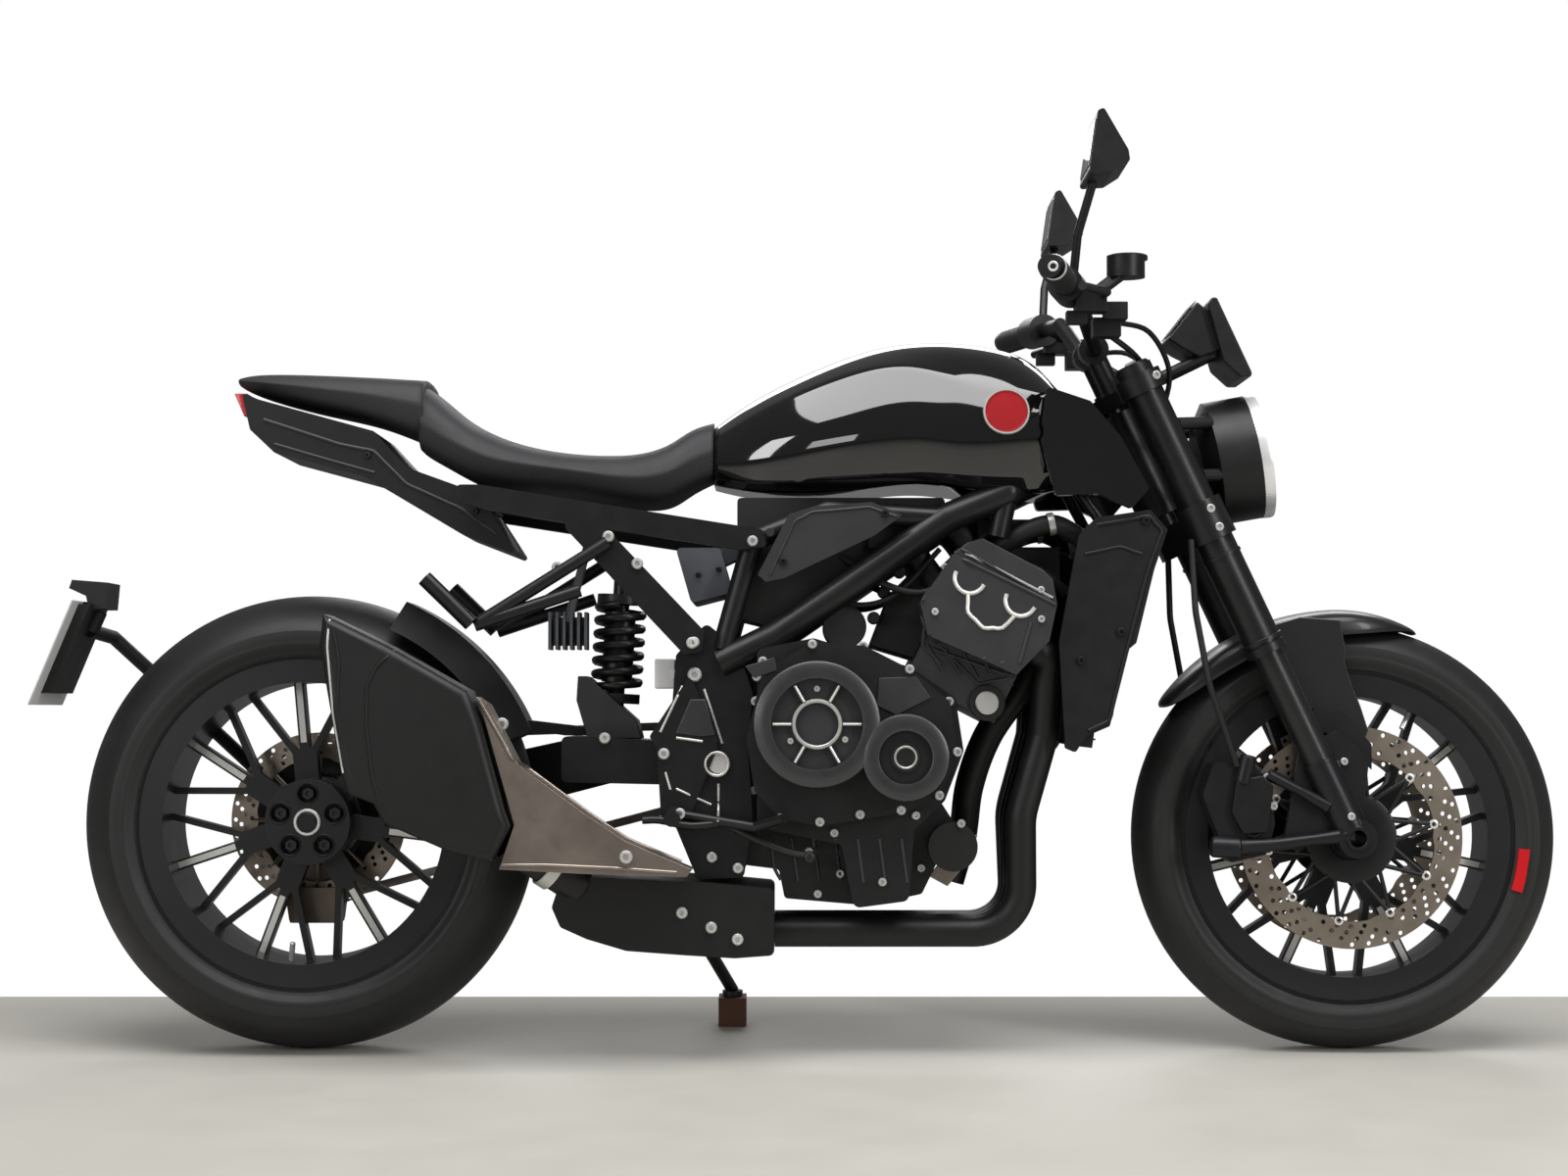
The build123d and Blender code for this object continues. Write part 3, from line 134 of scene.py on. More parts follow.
def surface(name, colour, rough, metal=0.0, coat=0.0, spread=0.2, rough_spread=0.1,
            grain=0.0, grain_scale=900.0):
    """A painted, moulded or metal surface with drift in colour and polish and a fine grain."""
    material = bpy.data.materials.new(name)
    tree, shader = nodes_of(material)
    mottle(tree, shader, colour, spread, 14)
    drift = noise_texture(tree, 38, 6)
    low, high = max(0.02, rough - rough_spread), rough + rough_spread
    tree.links.new(ramp(tree, drift, low, high), shader.inputs["Roughness"])
    shader.inputs["Metallic"].default_value = metal
    shader.inputs["Coat Weight"].default_value = coat
    shader.inputs["Coat Roughness"].default_value = 0.03
    shader.inputs["Specular IOR Level"].default_value = 0.35
    if grain:
        bump(tree, shader, noise_texture(tree, grain_scale, 3), grain, 0.0004)
    return material


def glass(name, colour, rough):
    material = bpy.data.materials.new(name)
    tree, shader = nodes_of(material)
    shader.inputs["Base Color"].default_value = (*colour, 1)
    tree.links.new(ramp(tree, noise_texture(tree, 30), rough, rough + 0.04), shader.inputs["Roughness"])
    shader.inputs["Transmission Weight"].default_value = 1.0
    shader.inputs["IOR"].default_value = 1.45
    return material


TANK_BLACK = surface("tank_black", (0.003, 0.003, 0.0035), 0.05, coat=1.0, rough_spread=0.02)
GLOSS = surface("gloss_black_trim", (0.006, 0.006, 0.007), 0.16, coat=0.5, rough_spread=0.04)
FRAME = surface("frame_paint", (0.007, 0.007, 0.0075), 0.36, grain=0.12, grain_scale=700)
PLASTIC = surface("black_plastic_trim", (0.006, 0.006, 0.0065), 0.42, grain=0.2, grain_scale=1500)
MATTE = surface("matte_black_trim", (0.007, 0.007, 0.007), 0.58, grain=0.25, grain_scale=1300)
COVER = surface("side_cover_grey", (0.03, 0.03, 0.032), 0.34, grain=0.1, grain_scale=1800)
GREY_BOX = surface("grey_box_plastic", (0.07, 0.075, 0.085), 0.48, grain=0.15)
CASE = surface("engine_case_paint", (0.010, 0.010, 0.0105), 0.38, grain=0.35, grain_scale=650)
BEZEL = surface("satin_cover_ring", (0.075, 0.075, 0.078), 0.34, metal=0.8, grain=0.1)
# Grey engine paint. On the raised case facets its lighter grey also serves as a painted reflection of a
# window.
CASE_GREY_AND_PAINTED_REFLECTION = surface("engine_grey_paint_and_painted_reflection", (0.04, 0.04, 0.042), 0.4, metal=0.3, grain=0.45, grain_scale=520)
MACHINED = surface("machined_edge", (0.6, 0.59, 0.56), 0.36, metal=0.65, grain=0.1)
BRIGHT = surface("bright_bolts", (0.74, 0.73, 0.71), 0.3, metal=0.6, spread=0.3, rough_spread=0.12)
DARK_BOLT = surface("dark_bolts", (0.03, 0.03, 0.03), 0.35, metal=0.6)
CHROME = surface("polished_trim", (0.9, 0.9, 0.9), 0.28, metal=0.55, rough_spread=0.06)
EXHAUST = surface("exhaust_black_paint", (0.006, 0.006, 0.006), 0.45, grain=0.2, grain_scale=900)
SHIELD = surface("bare_shield_metal", (0.3, 0.255, 0.22), 0.3, metal=0.85, spread=0.4, grain=0.15)
RUBBER = surface("hose_rubber_black", (0.010, 0.010, 0.010), 0.55, grain=0.2)
GRIP = surface("grip_rubber_black", (0.009, 0.009, 0.009), 0.6, grain=0.4)
RIM = surface("rim_paint_black", (0.011, 0.011, 0.012), 0.3, coat=0.1, rough_spread=0.05)
SATIN = surface("satin_fender_paint", (0.012, 0.012, 0.013), 0.34, coat=0.15, rough_spread=0.04)
RED = surface("red_lens_plastic", (0.5, 0.006, 0.01), 0.18, coat=0.6, rough_spread=0.05)
CARBON_GREY = surface("caliper_anodised", (0.018, 0.018, 0.02), 0.34, metal=0.5, grain=0.2)
BROWN_STEEL = surface("aged_caliper", (0.13, 0.105, 0.085), 0.42, metal=0.8, spread=0.4, grain=0.3)
CHAIN_STEEL = surface("chain_links", (0.24, 0.22, 0.19), 0.35, metal=1.0, spread=0.35)
PLATE = surface("plate_blank", (0.62, 0.62, 0.62), 0.4, spread=0.06)
WOOD = surface("block_wood_brown", (0.09, 0.035, 0.02), 0.6, spread=0.5, grain=0.5, grain_scale=120)
BADGE = surface("badge_enamel", (0.30, 0.012, 0.016), 0.12, coat=0.8, rough_spread=0.03)
LENS = glass("lamp_lens", (0.9, 0.92, 0.95), 0.02)
SCREEN = surface("tinted_screen", (0.006, 0.006, 0.007), 0.06, coat=0.6, rough_spread=0.02)
MIRROR_GLASS = surface("mirror_silver", (0.75, 0.76, 0.77), 0.03, metal=1.0, rough_spread=0.01)


def leather_like(name, colour, rough, scale, strength):
    """Vinyl with a pebbled grain."""
    material = surface(name, colour, rough, spread=0.15)
    tree, shader = nodes_of(material)
    place = tree.nodes.new("ShaderNodeTexCoord")
    cells = tree.nodes.new("ShaderNodeTexVoronoi")
    cells.inputs["Scale"].default_value = scale
    tree.links.new(place.outputs["Object"], cells.inputs["Vector"])
    bump(tree, shader, cells.outputs["Distance"], strength, 0.0006)
    return material


SEAT = leather_like("seat_vinyl_dark", (0.021, 0.021, 0.023), 0.62, 420, 0.5)
TYRE = surface("tyre_rubber_black", (0.012, 0.012, 0.012), 0.5, spread=0.3, grain=0.25,
               grain_scale=500)


def brushed_round(name, colour, rough, centre):
    """Ground metal with fine rings about an axle."""
    material = surface(name, colour, rough, metal=1.0, spread=0.3)
    tree, shader = nodes_of(material)
    place = tree.nodes.new("ShaderNodeTexCoord")
    shift = tree.nodes.new("ShaderNodeVectorMath")
    shift.operation = "SUBTRACT"
    shift.inputs[1].default_value = centre
    rings = tree.nodes.new("ShaderNodeTexWave")
    rings.wave_type = "RINGS"
    rings.rings_direction = "Y"
    rings.inputs["Scale"].default_value = 260
    rings.inputs["Distortion"].default_value = 1.5
    tree.links.new(place.outputs["Object"], shift.inputs[0])
    tree.links.new(shift.outputs[0], rings.inputs["Vector"])
    bump(tree, shader, rings.outputs["Fac"], 0.18, 0.0002)
    return material


FRONT_DISC = brushed_round("front_disc_ground", (0.33, 0.28, 0.23), 0.32, on_machine(FRONT_AXLE))
REAR_DISC = brushed_round("rear_disc_ground", (0.26, 0.22, 0.18), 0.36, on_machine(REAR_AXLE))


# Shapes, as lists of corners and faces in the upright machine's millimetres


class Shape:
    """Corners and faces that grow as forms are added."""

    def __init__(self):
        self.corners = []
        self.faces = []

    def add(self, corners, faces):
        first = len(self.corners)
        self.corners += [Vector(c) for c in corners]
        self.faces += [[first + i for i in face] for face in faces]
        return self

    def mirrored(self):
        """The same again on the other side of the machine."""
        corners = [Vector((c.x, -c.y, c.z)) for c in self.corners]
        return self.add(corners, [face[::-1] for face in list(self.faces)])


def grid_faces(rows, columns, closed_rows=False, closed_columns=False):
    faces = []
    for r in range(rows if closed_rows else rows - 1):
        for c in range(columns if closed_columns else columns - 1):
            r2, c2 = (r + 1) % rows, (c + 1) % columns
            faces.append([r * columns + c, r * columns + c2, r2 * columns + c2, r2 * columns + c])
    return faces


def basis(axis):
    """Two directions square to an axis."""
    axis = Vector(axis).normalized()
    other = Vector((1, 0, 0)) if abs(axis.x) < 0.8 else Vector((0, 0, 1))
    side = axis.cross(other).normalized()
    return side, axis.cross(side)


def lathe(shape, centre, axis, profile, count=48, closed=False):
    """A turned form: profile is (radius, distance along the axis) from point to point."""
    axis = Vector(axis).normalized()
    side, up = basis(axis)
    rows = []
    for turn in range(count):
        angle = 2 * math.pi * turn / count
        out = math.cos(angle) * side + math.sin(angle) * up
        rows += [Vector(centre) + r * out + h * axis for r, h in profile]
    faces = grid_faces(count, len(profile), closed_rows=True, closed_columns=closed)
    if not closed:
        n = len(profile)
        faces.append([turn * n for turn in range(count)][::-1])
        faces.append([turn * n + n - 1 for turn in range(count)])
    return shape.add(rows, faces)


def round_bar(shape, start, end, radius, count=16, bevel=0.0):
    start, end = Vector(start), Vector(end)
    length = (end - start).length
    profile = [(radius, 0), (radius, length)]
    if bevel:
        profile = [(radius - bevel, 0), (radius, bevel), (radius, length - bevel), (radius - bevel, length)]
    return lathe(shape, start, end - start, profile, count)


def plate(shape, outline, y_low, y_high):
    """An outline in X and Z carried across the machine."""
    n = len(outline)
    corners = [(x, y_low, z) for x, z in outline] + [(x, y_high, z) for x, z in outline]
    faces = [[i, (i + 1) % n, n + (i + 1) % n, n + i] for i in range(n)]
    faces += [list(range(n))[::-1], list(range(n, 2 * n))]
    return shape.add(corners, faces)


def block(shape, low, high):
    """A box between two corners."""
    x0, y0, z0 = low
    x1, y1, z1 = high
    return plate(shape, [(x0, z0), (x1, z0), (x1, z1), (x0, z1)], y0, y1)


def smooth_path(points, steps):
    """Points on a smooth curve through the given ones."""
    points = [Vector(p) for p in points]
    ends = [2 * points[0] - points[1], *points, 2 * points[-1] - points[-2]]
    line = []
    for a, b, c, d in zip(ends, ends[1:], ends[2:], ends[3:]):
        for step in range(steps):
            t = step / steps
            line.append(0.5 * (2 * b + (c - a) * t + (2 * a - 5 * b + 4 * c - d) * t * t
                               + (3 * b - a - 3 * c + d) * t ** 3))
    return [*line, points[-1]]


def tube(shape, points, radius, count=12, steps=8):
    """A round tube along a smooth line; radius may be a list, one per given point."""
    radii = list(radius) if isinstance(radius, (list, tuple)) else [radius] * len(points)
    line = smooth_path(points, steps)
    side = basis(line[1] - line[0])[0]
    rings = []
    for i, point in enumerate(line):
        run = (line[min(i + 1, len(line) - 1)] - line[max(i - 1, 0)]).normalized()
        side = (side - side.dot(run) * run).normalized()
        up = run.cross(side)
        place = i / steps
        k = min(int(place), len(radii) - 2)
        r = radii[k] + (radii[k + 1] - radii[k]) * (place - k)
        for turn in range(count):
            angle = 2 * math.pi * turn / count
            rings.append(point + r * (math.cos(angle) * side + math.sin(angle) * up))
    n = len(line)
    faces = grid_faces(n, count, closed_columns=True)
    faces += [list(range(count))[::-1], list(range((n - 1) * count, n * count))]
    return shape.add(rings, faces)


def loft(shape, sections):
    """A closed skin over sections of equal length, with flat ends."""
    count = len(sections[0])
    corners = [p for section in sections for p in section]
    faces = grid_faces(len(sections), count, closed_columns=True)
    faces += [list(range(count))[::-1], list(range(len(corners) - count, len(corners)))]
    return shape.add(corners, faces)


def bolt(shape, place, axis, radius, height=None):
    """A round head with a socket, standing on place along axis."""
    h = height or radius * 0.9
    r = radius
    return lathe(shape, place, axis, [
        (r, -1), (r, h * 0.7), (r * 0.8, h), (r * 0.5, h), (r * 0.46, h * 0.35), (0.02, h * 0.35),
    ], 12)


def piece(name, shape, material, body="chassis", bevel=0.0, angle=30, subdivide=0,
          crease=None):
    """A Blender object from a shape, with rounded edges or a subdivided skin."""
    mesh = bpy.data.meshes.new(name)
    mesh.from_pydata([on_machine(c) for c in shape.corners], [], shape.faces)
    work = bmesh.new()
    work.from_mesh(mesh)
    bmesh.ops.recalc_face_normals(work, faces=work.faces)
    work.to_mesh(mesh)
    work.free()
    mesh.materials.append(material)
    item = bpy.data.objects.new(name, mesh)
    bpy.context.scene.collection.objects.link(item)
    mesh.shade_smooth()
    if not subdivide:
        mesh.set_sharp_from_angle(angle=math.radians(angle))
    if bevel:
        rounding = item.modifiers.new("rounding", "BEVEL")
        rounding.width = bevel * MM
        rounding.segments = 2
        rounding.limit_method = "ANGLE"
        rounding.angle_limit = math.radians(angle)
        rounding.harden_normals = True
    if crease:
        creases = mesh.attributes.new("crease_edge", "FLOAT", "EDGE")
        for edge in mesh.edges:
            creases.data[edge.index].value = crease(edge.vertices[0], edge.vertices[1])
    if subdivide:
        skin = item.modifiers.new("skin", "SUBSURF")
        skin.levels = skin.render_levels = subdivide
    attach(item, body)
    return item


# Solids of the frame that stay, with rounded edges and their finishes


WELD_DISTANCE = 0.00002
EDGE_ROUNDING = 1.2


def dress(node, material):
    """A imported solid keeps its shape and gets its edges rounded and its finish."""
    item = frame["nodes"][node]
    item.data.materials.clear()
    item.data.materials.append(material)
    item.modifiers.new("weld", "WELD").merge_threshold = WELD_DISTANCE
    rounding = item.modifiers.new("rounding", "BEVEL")
    rounding.width = EDGE_ROUNDING * MM
    rounding.segments = 2
    rounding.limit_method = "ANGLE"
    rounding.angle_limit = math.radians(40)
    item.data.shade_smooth()
    item.modifiers.new("weighted", "WEIGHTED_NORMAL").keep_sharp = True


for node, material in {
    "main_frame": FRAME, "subframe": FRAME, "crankcase": CASE, "cylinders": CASE_GREY_AND_PAINTED_REFLECTION,
    "head_cover": CASE_GREY_AND_PAINTED_REFLECTION, "right_cover": CASE, "clutch_cover": CASE_GREY_AND_PAINTED_REFLECTION, "left_cover": CASE,
    "oil_filter": MATTE, "radiator": MATTE, "radiator_shrouds": PLASTIC, "headers": EXHAUST,
    "exhaust_chamber": EXHAUST, "muffler": EXHAUST, "link_pipe": EXHAUST, "heat_shield": SHIELD,
    "tank_panels": GLOSS, "side_covers": COVER, "tail_cowl": PLASTIC, "tail_light": RED,
    "hugger": PLASTIC, "plate_bracket": MATTE, "number_plate": PLATE, "swingarm": FRAME,
    "pivot_bolt": BRIGHT, "shock": DARK_BOLT, "chain": CHAIN_STEEL, "rear_caliper": BROWN_STEEL,
    "rider_footrests": FRAME, "passenger_footrests": FRAME, "electrics": GREY_BOX,
    "stand_block": WOOD, "fork_tubes": FRAME, "fork_sliders": DARK_BOLT,
    "fork_bottoms": CARBON_GREY, "steering_yokes": FRAME, "airbox": MATTE,
    "starter_motor": CASE_GREY_AND_PAINTED_REFLECTION, "handlebar": FRAME, "grips": GRIP, "controls": PLASTIC,
    "mirrors": PLASTIC, "headlight": PLASTIC, "headlight_lens": LENS, "front_calipers": CARBON_GREY,
    "brake_hoses": RUBBER, "front_rim": RIM, "rear_rim": RIM, "rear_sprocket": DARK_BOLT,
    "side_stand": FRAME,
}.items():
    dress(node, material)


# Fuel tank

TANK_STATIONS = [
    # forward, then half width and height at bottom, lower line, waist, flank, crest, shoulder, and top
    (-119, (56, 792), (66, 800), (74, 822), (72, 840), (60, 858), (34, 872), 880),
    (-70, (80, 781), (92, 792), (102, 824), (98, 856), (78, 886), (44, 908), 917),
    (-10, (100, 779), (114, 792), (130, 828), (124, 874), (98, 916), (56, 938), 948),
    (50, (112, 780), (130, 796), (152, 836), (144, 886), (114, 938), (66, 964), 974),
    (110, (122, 786), (140, 800), (166, 842), (158, 896), (128, 954), (74, 984), 994),
    (165, (126, 792), (142, 806), (168, 846), (160, 898), (134, 953), (82, 991), 1001),
    (215, (128, 786), (144, 802), (164, 844), (154, 888), (138, 932), (92, 990), 1001),
    (262, (128, 779), (146, 798), (168, 842), (160, 884), (146, 916), (98, 982), 999),
    (310, (124, 776), (144, 800), (170, 842), (164, 884), (148, 914), (102, 968), 992),
    (346, (120, 776), (138, 802), (166, 842), (160, 882), (146, 912), (104, 944), 966),
]
TANK_FRONT = [(108, 800, 418), (124, 812, 414), (150, 842, 402), (146, 882, 382), (132, 908, 370),
              (98, 924, 362), (0, 934, 358)]


def mirrored_sections(stations):
    """Whole sections from half ones: bottom, up the right side, top and down the left side."""
    sections = []
    for x, *sides, top in stations:
        right = [(x, -width, z) for width, z in sides]
        left = [(x, width, z) for width, z in reversed(sides)]
        sections.append([(x, 0, sides[0][1]), *right, (x, 0, top), *left])
    return sections


def creased(ring, lines, ends):
    """How sharp a loft's edges are: along some of its lines, and round some of its sections."""
    def sharpness(a, b):
        if a % ring == b % ring:
            return lines.get(a % ring, 0.0)
        return ends.get(a // ring, 0.0) if a // ring == b // ring else 0.0

    return sharpness


BADGE_PLACE = (285, -163, 886)
BADGE_FACING = (0, RIGHT, 0.12)


def tank():
    sections = mirrored_sections(TANK_STATIONS)
    *sides, top = TANK_FRONT
    right = [(x, -width, z) for width, z, x in sides]
    left = [(x, width, z) for width, z, x in reversed(sides)]
    sections.append([(sides[0][2], 0, sides[0][1]), *right, (top[2], 0, top[1]), *left])
    ring = len(sections[0])
    lines = {5: 0.75, ring - 5: 0.75, 1: 0.6, 2: 0.6, ring - 2: 0.6, ring - 1: 0.6}
    crease = creased(ring, lines, {0: 1.0, len(sections) - 1: 0.7})
    item = piece("tank_shell", loft(Shape(), sections), TANK_BLACK, subdivide=3, crease=crease)
    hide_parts("fuel_tank")
    badge = lathe(Shape(), BADGE_PLACE, BADGE_FACING, [
        (0.02, -4), (31, -4), (31, 1.5), (29, 3), (27.5, 3), (27, 2.2), (14, 3.4), (0.02, 3.8)], 56)
    piece("tank_badge_disc", badge.mirrored(), BADGE)
    rim = lathe(Shape(), BADGE_PLACE, BADGE_FACING, [(31, 0), (32.4, 1), (31.4, 3.4), (29.4, 3.4)],
                56, closed=True)
    piece("tank_badge_rim", rim.mirrored(), MACHINED)


tank()


# Seats

RIDER_SEAT = [
    # forward, half width and height at bottom, skirt, side, shoulder, cushion, and top
    (-530, (96, 838), (112, 850), (118, 878), (112, 912), (74, 932), 938),
    (-505, (104, 824), (120, 838), (127, 862), (118, 896), (78, 916), 922),
    (-470, (112, 804), (128, 820), (136, 842), (124, 868), (82, 884), 889),
    (-430, (118, 786), (134, 804), (142, 824), (128, 848), (84, 862), 866),
    (-380, (122, 781), (138, 798), (147, 815), (132, 834), (84, 845), 848),
    (-320, (122, 779), (138, 794), (148, 808), (132, 826), (82, 835), 838),
    (-265, (116, 768), (130, 784), (139, 800), (124, 824), (76, 833), 835),
    (-220, (104, 762), (116, 780), (124, 798), (110, 826), (66, 836), 838),
    (-180, (88, 763), (98, 784), (106, 806), (92, 838), (56, 850), 853),
    (-152, (76, 786), (86, 802), (92, 828), (80, 860), (48, 874), 877),
    (-120.3, (62, 800), (70, 814), (76, 840), (66, 868), (40, 882), 885),
]
PASSENGER_SEAT = [
    (-790, (50, 933), (60, 936), (66, 939), (56, 943), (34, 946), 947),
    (-765, (70, 922), (82, 928), (88, 936), (76, 946), (46, 951), 953),
    (-700, (92, 904), (104, 914), (110, 928), (98, 943), (60, 949), 951),
    (-640, (100, 892), (112, 904), (118, 920), (106, 940), (66, 946), 948),
    (-590, (104, 880), (116, 894), (122, 914), (110, 937), (68, 944), 945),
    (-524, (104, 852), (116, 872), (122, 900), (110, 932), (70, 940), 942),
]


def seat(name, stations, node):
    """A padded seat with a sewn line down each side."""
    sections = mirrored_sections(stations)
    ring = len(sections[0])
    crease = creased(ring, {3: 0.55, ring - 3: 0.55}, {0: 0.5, len(sections) - 1: 1.0})
    item = piece(name, loft(Shape(), sections), SEAT, subdivide=3, crease=crease)
    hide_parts(node)


seat("rider_seat_pad", RIDER_SEAT, "rider_seat")
seat("passenger_seat_pad", PASSENGER_SEAT, "pillion_seat")


# Tyres and discs


# share of the half width inwards from the crown, and sideways
TYRE_CROWN = [(0, 0), (0.04, 0.25), (0.17, 0.55), (0.36, 0.8), (0.55, 0.95), (0.62, 0.965), (0.64, 0.955)]
BEAD_RADIUS = 217
FLANGE_TOP = 234.3


def tyre_profile(radius, width, rim_width, wall_top):
    """Half of a tyre's section from the crown to the bead, as (radius, sideways)."""
    half, rim_half = width / 2, rim_width / 2
    crown = [(radius - inwards * half, sideways * half) for inwards, sideways in TYRE_CROWN]
    groove = [(256, half), (254, half - 0.6), (252, half)]
    foot = [(246, 0.985 * half), (241, rim_half + 4), (237, rim_half + 2.2), (FLANGE_TOP, rim_half + 1)]
    bead = [(FLANGE_TOP, rim_half - 5.5), (BEAD_RADIUS, rim_half - 7)]
    return [*crown, (wall_top, 0.985 * half), *groove, *foot, *bead]


def tyre(name, centre, *sizes):
    half = tyre_profile(*sizes)
    profile = [(r, -y) for r, y in reversed(half)] + half[1:]
    shape = lathe(Shape(), centre, TO_LEFT, profile, 160, closed=True)
    item = piece(f"{name}_tyre_rubber", shape, TYRE, f"{name}_wheel", angle=50)
    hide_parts(f"{name}_tyre")


# radius, width, width of the rim, and top of the flat wall
tyre("front", FRONT_AXLE, 299, 119.5, 102, 267)
tyre("rear", REAR_AXLE, 319, 189.5, 166, 268)


def outward(turn):
    """The direction in the machine's side view at an angle up from straight ahead."""
    return Vector((math.cos(turn), 0, math.sin(turn)))


def ring_points(radius, count, centre=(0, 0)):
    turns = [2 * math.pi * i / count for i in range(count)]
    return [(centre[0] + radius * math.cos(t), centre[1] + radius * math.sin(t)) for t in turns]


def cut_sheet(shape, loops, y_low, y_high, centre):
    """A sheet with holes, filled between loops in X and Z about a centre."""
    curve = bpy.data.curves.new("outline", "CURVE")
    curve.dimensions = "2D"
    curve.fill_mode = "BOTH"
    curve.extrude = (y_high - y_low) / 2
    for loop in loops:
        spline = curve.splines.new("POLY")
        spline.points.add(len(loop) - 1)
        for point, (x, z) in zip(spline.points, loop):
            point.co = (x, z, 0, 1)
        spline.use_cyclic_u = True
    holder = bpy.data.objects.new("outline", curve)
    mesh = bpy.data.meshes.new_from_object(holder)
    middle = (y_low + y_high) / 2
    corners = [(centre[0] + v.co.x, middle - v.co.z, centre[2] + v.co.y) for v in mesh.vertices]
    shape.add(corners, [list(face.vertices) for face in mesh.polygons])
    bpy.data.objects.remove(holder)
    bpy.data.meshes.remove(mesh)
    return shape


ROTOR_STEPS = 120
SCALLOPS = 10
HOLE_RADIUS = 3.3
ROTOR_HALF_THICKNESS = 2.5


def drilled_band(radius, band, y, centre):
    """A brake rotor with rows of holes and a scalloped inner edge."""
    inner = []
    for i in range(ROTOR_STEPS):
        turn = 2 * math.pi * i / ROTOR_STEPS
        reach = radius - band - 3.0 * max(0.0, math.cos(turn * SCALLOPS)) ** 2
        inner.append((reach * math.cos(turn), reach * math.sin(turn)))
    loops = [ring_points(radius, ROTOR_STEPS), inner]
    count = round(radius * 0.26)
    for row, share in enumerate((0.16, 0.38, 0.6, 0.82)):
        at = radius - band * share
        for i in range(count):
            turn = 2 * math.pi * (i + row * 0.3) / count
            if (i + row) % 5 != 4:
                loops.append(ring_points(HOLE_RADIUS, 10, (at * math.cos(turn), at * math.sin(turn))))
    return cut_sheet(Shape(), loops, y - ROTOR_HALF_THICKNESS, y + ROTOR_HALF_THICKNESS, centre)


FRONT_ROTOR_Y = -72
REAR_ROTOR_Y = 60
BOBBINS = 10
CARRIER_RADIUS = 60
DISC_ARM = 3.2


def brake_discs():
    rotor = drilled_band(155, 38, FRONT_ROTOR_Y, FRONT_AXLE).mirrored()
    item = piece("front_rotors", rotor, FRONT_DISC, "front_wheel")
    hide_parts("front_discs")
    across = Vector((0, FRONT_ROTOR_Y, 0))
    carrier = Shape()
    bobbins = Shape()
    for i in range(BOBBINS):
        out = outward(math.radians(360 / BOBBINS * i + 9))
        along = Vector((-out.z, 0, out.x))
        root, end = FRONT_AXLE + CARRIER_RADIUS * out, FRONT_AXLE + 118 * out + across
        for start in (root - 14 * along, root + 14 * along):
            round_bar(carrier, start + across, end, DISC_ARM, 8)
        place = FRONT_AXLE + 117 * out + Vector((0, FRONT_ROTOR_Y + 3, 0))
        lathe(bobbins, place, TO_RIGHT,
              [(6.5, 0), (6.5, 5.4), (4, 6.6), (3.4, 6.6), (3.2, 4.5), (0.02, 4.5)], 16)
    lathe(carrier, FRONT_AXLE, TO_RIGHT, [
        (30, 69.6), (62, 69.6), (64, 71), (64, 73.5), (60, 74.4), (34, 74.4), (30, 73),
    ], 48, closed=True)
    piece("front_disc_carriers", carrier.mirrored(), FRAME, "front_wheel", bevel=0.5, angle=35)
    piece("front_disc_bobbins", bobbins.mirrored(), BRIGHT, "front_wheel")
    across = Vector((0, REAR_ROTOR_Y, 0))
    rear = drilled_band(125, 36, REAR_ROTOR_Y, REAR_AXLE)
    lathe(rear, REAR_AXLE + across, TO_LEFT, [(42, -2.4), (62, -2.4), (62, 2.4), (42, 2.4)],
          48, closed=True)
    for i in range(8):
        out = outward(math.radians(45 * i))
        round_bar(rear, REAR_AXLE + CARRIER_RADIUS * out + across, REAR_AXLE + 94 * out + across,
                  DISC_ARM, 8)
    item = piece("rear_rotor", rear, REAR_DISC, "rear_wheel")
    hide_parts("rear_disc")


brake_discs()


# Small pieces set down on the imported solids


class Skin:
    """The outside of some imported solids, on which small pieces are set down."""

    def __init__(self, *names):
        corners, faces = [], []
        back = MACHINE.inverted()
        for name in names:
            item = frame["nodes"][name]
            first = len(corners)
            corners += [back @ item.matrix_world @ v.co for v in item.data.vertices]
            faces += [[first + i for i in face.vertices] for face in item.data.polygons]
        self.corners = corners
        self.tree = BVHTree.FromPolygons(corners, faces)

    def cast(self, start, direction):
        hit = self.tree.ray_cast(Vector(start), Vector(direction))[0]
        return hit or self.tree.find_nearest(Vector(start))[0]

    def land(self, x, z, side=RIGHT):
        """Where a line square to the machine's side meets the skin."""
        hit = self.tree.ray_cast(Vector((x, side * 450, z)), Vector((0, -side, 0)))[0]
        return hit or self.tree.find_nearest(Vector((x, side * 150, z)))[0]


def studs(shape, skin, places, radius):
    """Bolts standing on the right of a skin, at places in X and Z."""
    for x, z in places:
        bolt(shape, skin.land(x, z), TO_RIGHT, radius)


LINE_STEP = 16


def laid_line(shape, skin, points, radius):
    """A raised line that follows a skin."""
    laid = []
    for (x0, z0), (x1, z1) in zip(points, points[1:]):
        count = max(1, round(math.hypot(x1 - x0, z1 - z0) / LINE_STEP))
        for i in range(count):
            t = i / count
            laid.append(skin.land(x0 + (x1 - x0) * t, z0 + (z1 - z0) * t))
    laid.append(skin.land(*points[-1]))
    tube(shape, laid, radius, 8, 2)


def laid_lines(shape, skin, runs):
    """Raised lines, each given as its radius and then its points."""
    for radius, *points in runs:
        laid_line(shape, skin, points, radius)


def collar(shape, place, axis, inner, outer, height, count=48):
    """A raised ring standing on a face."""
    edge = min(1.2, (outer - inner) / 3)
    lathe(shape, place, axis, [
        (inner, -1), (inner, height - edge), (inner + edge, height), (outer - edge, height),
        (outer, height - edge), (outer, -1),
    ], count, closed=True)


def laid_patch(shape, skin, outline, thickness):
    """A flat plate on the right side, level with the highest point under its outline."""
    level = min(skin.land(x, z).y for x, z in outline)
    plate(shape, outline, level - thickness, level + 2)


